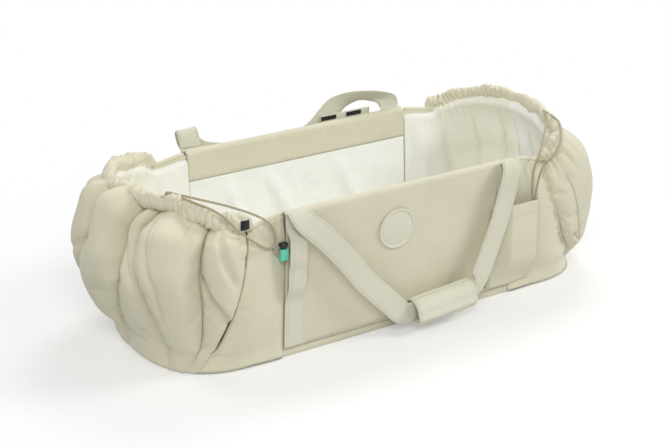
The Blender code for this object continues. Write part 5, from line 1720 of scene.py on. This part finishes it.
def ribbon_line(path, across, widths, u, start, end, way):
    """A stitch line along a strap, at the share u of its width and on its outer or inner side."""
    line = []
    for i in range(121):
        v = mix(start, end, i / 120)
        here, wide, up = ribbon_frame(path, across, v)
        up *= way
        line.append((here + wide * through(widths, v) * (u - 0.5) + up * STRAP_THICK / 2, up))
    return line


lines = [ribbon_line(front_path, front_across, front_widths, u, start, end, way)
         for u in EDGE_LINES for start, end in ((0.03, 0.43), (0.66, 0.97)) for way in (1, -1)]
stitch_row("front_strap_stitches", lines, "front_handle")

# %% [markdown]
# The sleeve and its flap are bent sheets round the strap. Each is a pad with a seam line near its edges,
# creased a little where a hand has closed it.

# %% Front grip
def grip_point(share, angle, radius):
    middle = GRIP_LEFT.lerp(GRIP_RIGHT, share)
    return middle + (grip_forward * cos(angle) + grip_upward * sin(angle)) * radius


def bent_pad(name, start, end, radius, thick, surface, replaced, body, share=(0.0, 1.0), seed=0):
    """A pad bent round the grip from one angle to the other; radius(degrees) is its inner face."""
    def place(u, v, layer):
        degrees = mix(start, end, v)
        edge = min(u, 1 - u, v, 1 - v)
        full = 0.45 + 0.55 * ease(edge / 0.05) ** 0.6
        crease = 0.0007 * noise.noise(Vector((u * 5, v * 7, seed))) * ease(edge / 0.1)
        return grip_point(mix(*share, u), radians(degrees), radius(degrees) + layer * (thick * full + crease))

    size = (GRIP_RIGHT.x * (share[1] - share[0]), abs(radians(end - start)) * GRIP_BORE)
    finish_piece(name, pad_shape(44, 64, place, size), surface, replaced, body)
    return place


LIFTED = GRIP_BORE + GRIP_SKIN + 0.001 + 2 * FIT
sleeve = bent_pad("front_soft_grip", 96, 330, lambda degrees: GRIP_BORE, GRIP_SKIN, WEBBING,
                  "front_grip_sleeve", "front_handle", seed=3)
flap = bent_pad("front_grip_cover", 90, -52, lambda degrees: mix(GRIP_BORE, LIFTED, ease((2 - degrees) / 26)),
                GRIP_SKIN, WEBBING, "front_grip_flap", "front_flap", seed=8)
bent_pad("front_closing_tape", -33, -50, lambda degrees: GRIP_BORE + GRIP_SKIN + FIT, 0.0009, HOOKS,
         "front_hook_tape", "front_handle", share=(0.08, 0.92))


def off_grip(point):
    """The direction from the grip's axis to a point."""
    out = point - GRIP_LEFT
    return (out - grip_along * out.dot(grip_along)).normalized()


def grip_lines(place):
    """Stitches along the four edges of a bent pad."""
    steps = [i / 24 for i in range(25)]
    edges = [[place(mix(0.04, 0.96, t), v, 1.0) for t in steps] for v in (0.05, 0.95)]
    edges += [[place(u, mix(0.05, 0.95, t), 1.0) for t in steps] for u in (0.04, 0.96)]
    return [[(point, off_grip(point)) for point in edge] for edge in edges]


stitch_row("front_grip_stitches", grip_lines(sleeve), "front_handle")
stitch_row("front_cover_stitches", grip_lines(flap), "front_flap")

# %% [markdown]
# ## Rear handle
# The rear strap is folded over at the left, hangs behind the wall and stands up as an arch at the right,
# where its grip is open: a sleeve on one side, its flap on the other, and two pads of hook tape.

# %% Rear handle
# points of the rear strap's middle line, each with the direction across the strap
REAR_STATIONS = (
    ((-0.175, 0.150, 0.2152), (1, 0, 0)), ((-0.177, 0.152, 0.230), (1, 0, 0)),
    ((-0.177, 0.158, 0.239), (1, 0, 0)), ((-0.175, 0.166, 0.234), (1, 0, 0.15)),
    ((-0.168, 0.171, 0.216), (0.9, 0, 0.4)), ((-0.150, 0.172, 0.198), (0.6, 0, 0.75)),
    ((-0.110, 0.170, 0.186), (0.25, 0, 0.95)), ((-0.070, 0.168, 0.185), (0.1, 0, 1)),
    ((-0.030, 0.166, 0.183), (0, 0, 1)), ((0.005, 0.166, 0.183), (-0.1, 0, 1)),
    ((0.032, 0.166, 0.189), (-0.4, 0, 0.9)), ((0.050, 0.166, 0.199), (-0.6, 0, 0.8)),
    ((0.064, 0.166, 0.212), (-0.6, 0, 0.8)), ((0.081, 0.1661, 0.2255), (-0.5, -0.05, 0.86)),
    ((0.104, 0.1640, 0.2350), (-0.25, -0.45, 0.8)), ((0.130, 0.158, 0.2385), (0.1, -0.72, 0.62)),
    ((0.153, 0.155, 0.2345), (0.5, -0.6, 0.45)), ((0.170, 0.152, 0.227), (0.9, -0.2, 0.2)),
    ((0.175, 0.150, 0.2152), (1, 0, 0)))
rear_path = [Vector(place) for place, _ in REAR_STATIONS]
rear_across = [Vector(across).normalized() for _, across in REAR_STATIONS]
rear_widths = [STRAP_WIDTH] * len(rear_path)
shape = ribbon_shape(rear_path, rear_across, rear_widths, STRAP_THICK, **STRAP_MESH)
finish_piece("rear_carry_strap", shape, WEBBING, "rear_handle_strap", "rear_handle")
lines = [ribbon_line(rear_path, rear_across, rear_widths, u, 0.04, 0.97, way)
         for u in EDGE_LINES for way in (1, -1)]
stitch_row("rear_strap_stitches", lines, "rear_handle")
REAR_GRIP = (0.056, 0.146)
REAR_GRIP_Y = 0.166
REAR_FOLD, REAR_FLAP_TOP, REAR_SLEEVE_TOP = 0.1765, 0.2055, 0.2165
REAR_BORE = STRAP_THICK / 2 + FIT


def rear_sleeve_place(u, v, layer):
    """From behind the strap, round under its fold and up its inner side."""
    x = mix(*REAR_GRIP, u)
    edge = min(u, 1 - u, v, 1 - v)
    reach = REAR_BORE + layer * GRIP_SKIN * (0.5 + 0.5 * ease(edge / 0.05))
    if v > 0.3:
        return Vector((x, REAR_GRIP_Y - reach, mix(REAR_FOLD, REAR_SLEEVE_TOP, (v - 0.3) / 0.7)))
    angle = mix(radians(-8), radians(-180), v / 0.3)
    return Vector((x, REAR_GRIP_Y + reach * cos(angle), REAR_FOLD + reach * sin(angle)))


def rear_flap_place(u, v, layer):
    edge = min(u, 1 - u, v, 1 - v)
    full = 0.5 + 0.5 * ease(edge / 0.06)
    z = mix(REAR_FOLD + 0.0015, REAR_FLAP_TOP, v)
    return Vector((mix(*REAR_GRIP, u), REAR_GRIP_Y + REAR_BORE + 0.0001 + layer * GRIP_SKIN * full, z))


finish_piece("rear_soft_grip", pad_shape(40, 40, rear_sleeve_place, (0.09, 0.05)), WEBBING,
             "rear_grip_sleeve", "rear_handle")
finish_piece("rear_grip_cover", pad_shape(40, 16, rear_flap_place, (0.09, 0.028)), WEBBING,
             "rear_grip_flap", "rear_flap")
inwards = Vector((0, -1, 0))
lines = [[(rear_sleeve_place(u, mix(0.36, 0.96, i / 12), 1.0), inwards) for i in range(13)]
         for u in (0.04, 0.96)]
lines += [[(rear_sleeve_place(mix(0.04, 0.96, i / 20), 0.78, 1.0), inwards) for i in range(21)]]
stitch_row("rear_grip_stitches", lines, "rear_handle")

# %% [markdown]
# ## Cuff and seam stitches
# Where the outer cloth ends inside the wall, one row of stitches holds it and the mesh. Another row runs
# along the foot of the wall above the base band.

# %% Cuff stitches
def wall_stitches(face, z, out, way):
    """A stitch line along a wall at a height, out from its face; way is 1 outwards and -1 inwards."""
    y = face * (wall_half_width(z) + out)
    return [(Vector((mix(-0.186, 0.186, i / 40), y, z)), Vector((0, face * way, 0))) for i in range(41)]


for face, row in WALLS:
    cuff = wall_stitches(face, RIM_Z - CUFF + 0.005, -WALL_THICK, -1)
    foot = wall_stitches(face, BAND_Z + 0.006, 0.0006, 1)
    stitch_row(row + "_cuff_stitches", [cuff, foot])


# %% [markdown]
# ## Plastic, steel and board
# The cord locks, their plungers and springs, the boards and the rear hook tapes are right as the CAD model
# has them, so those meshes stay and only get their finish.

# %% Finishes for the CAD pieces
KEPT = {"left_cord_lock": MINT, "right_cord_lock": MINT,
        "left_lock_plunger": BLACK, "right_lock_plunger": BLACK,
        "left_lock_spring": STEEL, "right_lock_spring": STEEL,
        "front_wall_board": BOARD, "rear_wall_board": BOARD, "base_board": BOARD,
        "rear_left_hook_tape": HOOKS, "rear_right_hook_tape": HOOKS}
for thing in bpy.data.objects:
    node = thing.get("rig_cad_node")
    if node in KEPT:
        for slot in thing.material_slots:
            slot.material = KEPT[node]
print(len(KEPT), "CAD pieces keep their mesh")

# %% [markdown]
# ## Floor
# The carrier stands on a plain pale floor that fades into the white surround, so only its soft shadow is
# left. A smooth step of the distance from the middle makes the floor clear towards its edge.

# %% Floor
FLOOR_RADIUS = 3.2
FLOOR_GREY = 0.92
FLOOR_SOLID = 0.75
FADE_FROM = 0.42
FADE_TO = 0.75
floor_shape = bmesh.new()
bmesh.ops.create_circle(floor_shape, cap_ends=True, segments=96, radius=FLOOR_RADIUS)
bmesh.ops.recalc_face_normals(floor_shape, faces=floor_shape.faces)
floor_mesh = bpy.data.meshes.new("floor")
floor_shape.to_mesh(floor_mesh)
floor_shape.free()
floor = placed("floor", floor_mesh)
made, tree, shader = new_finish("pale_floor", 0.9)
shader.inputs["Base Color"].default_value = (FLOOR_GREY, FLOOR_GREY, FLOOR_GREY, 1)
distance = add(tree, "VectorMath", operation="LENGTH")
tree.links.new(coordinates(tree, "Object"), distance.inputs[0])
fade = stepped(tree, distance.outputs["Value"], FADE_FROM, FADE_TO, FLOOR_SOLID, 0.0)
tree.links.new(fade, shader.inputs["Alpha"])
floor.data.materials.append(made)
print("the floor fades out between", FADE_FROM, "and", FADE_TO, "m from the middle")

# %% [markdown]
# ## Light
# Four large soft lamps stand round the carrier: the strongest in front, one at the right, and two behind
# that light the inside. The surround gives an even light. It is fully white only to the camera and in
# reflections, and dimmer to the cloth, so a white background doesn't wash the folds out.

# %% Light
# watts that light a white face fully from one metre: about pi squared
FULL_LIGHT = 9.87


def lamp(name, place, size, share):
    """A large soft lamp that gives the object that share of full light."""
    data = bpy.data.lights.new(name, "AREA")
    data.shape = "DISK"
    data.size = size
    place = Vector(place)
    data.energy = FULL_LIGHT * (place - LOOK_AT).length ** 2 * share
    thing = placed(name, data)
    thing.location = place
    thing.rotation_euler = (place - LOOK_AT).to_track_quat("Z", "Y").to_euler()
    print(name, round(data.energy, 1), "W")


lamp("right_light", (2.4, -1.5, 2.0), 1.2, 0.36)
lamp("front_light", (-1.2, -2.0, 1.9), 1.4, 0.40)
lamp("back_left_light", (-1.6, 1.2, 2.4), 1.4, 0.18)
lamp("back_right_light", (1.5, 1.3, 2.4), 1.4, 0.30)

# how bright the surround is to the cloth; the camera sees it fully white
AROUND = 0.37
surround = bpy.data.worlds.new("white_surround")
surround.use_nodes = True
bpy.context.scene.world = surround
world_tree = surround.node_tree
background = world_tree.nodes["Background"]
background.inputs["Color"].default_value = (1, 1, 1, 1)
rays = add(world_tree, "LightPath")
seen = maths(world_tree, "MAXIMUM", rays.outputs["Is Camera Ray"], rays.outputs["Is Glossy Ray"])
seen = maths(world_tree, "MAXIMUM", seen, rays.outputs["Is Transmission Ray"])
strength = maths(world_tree, "ADD", maths(world_tree, "MULTIPLY", seen, 1 - AROUND), AROUND)
world_tree.links.new(strength, background.inputs["Strength"])
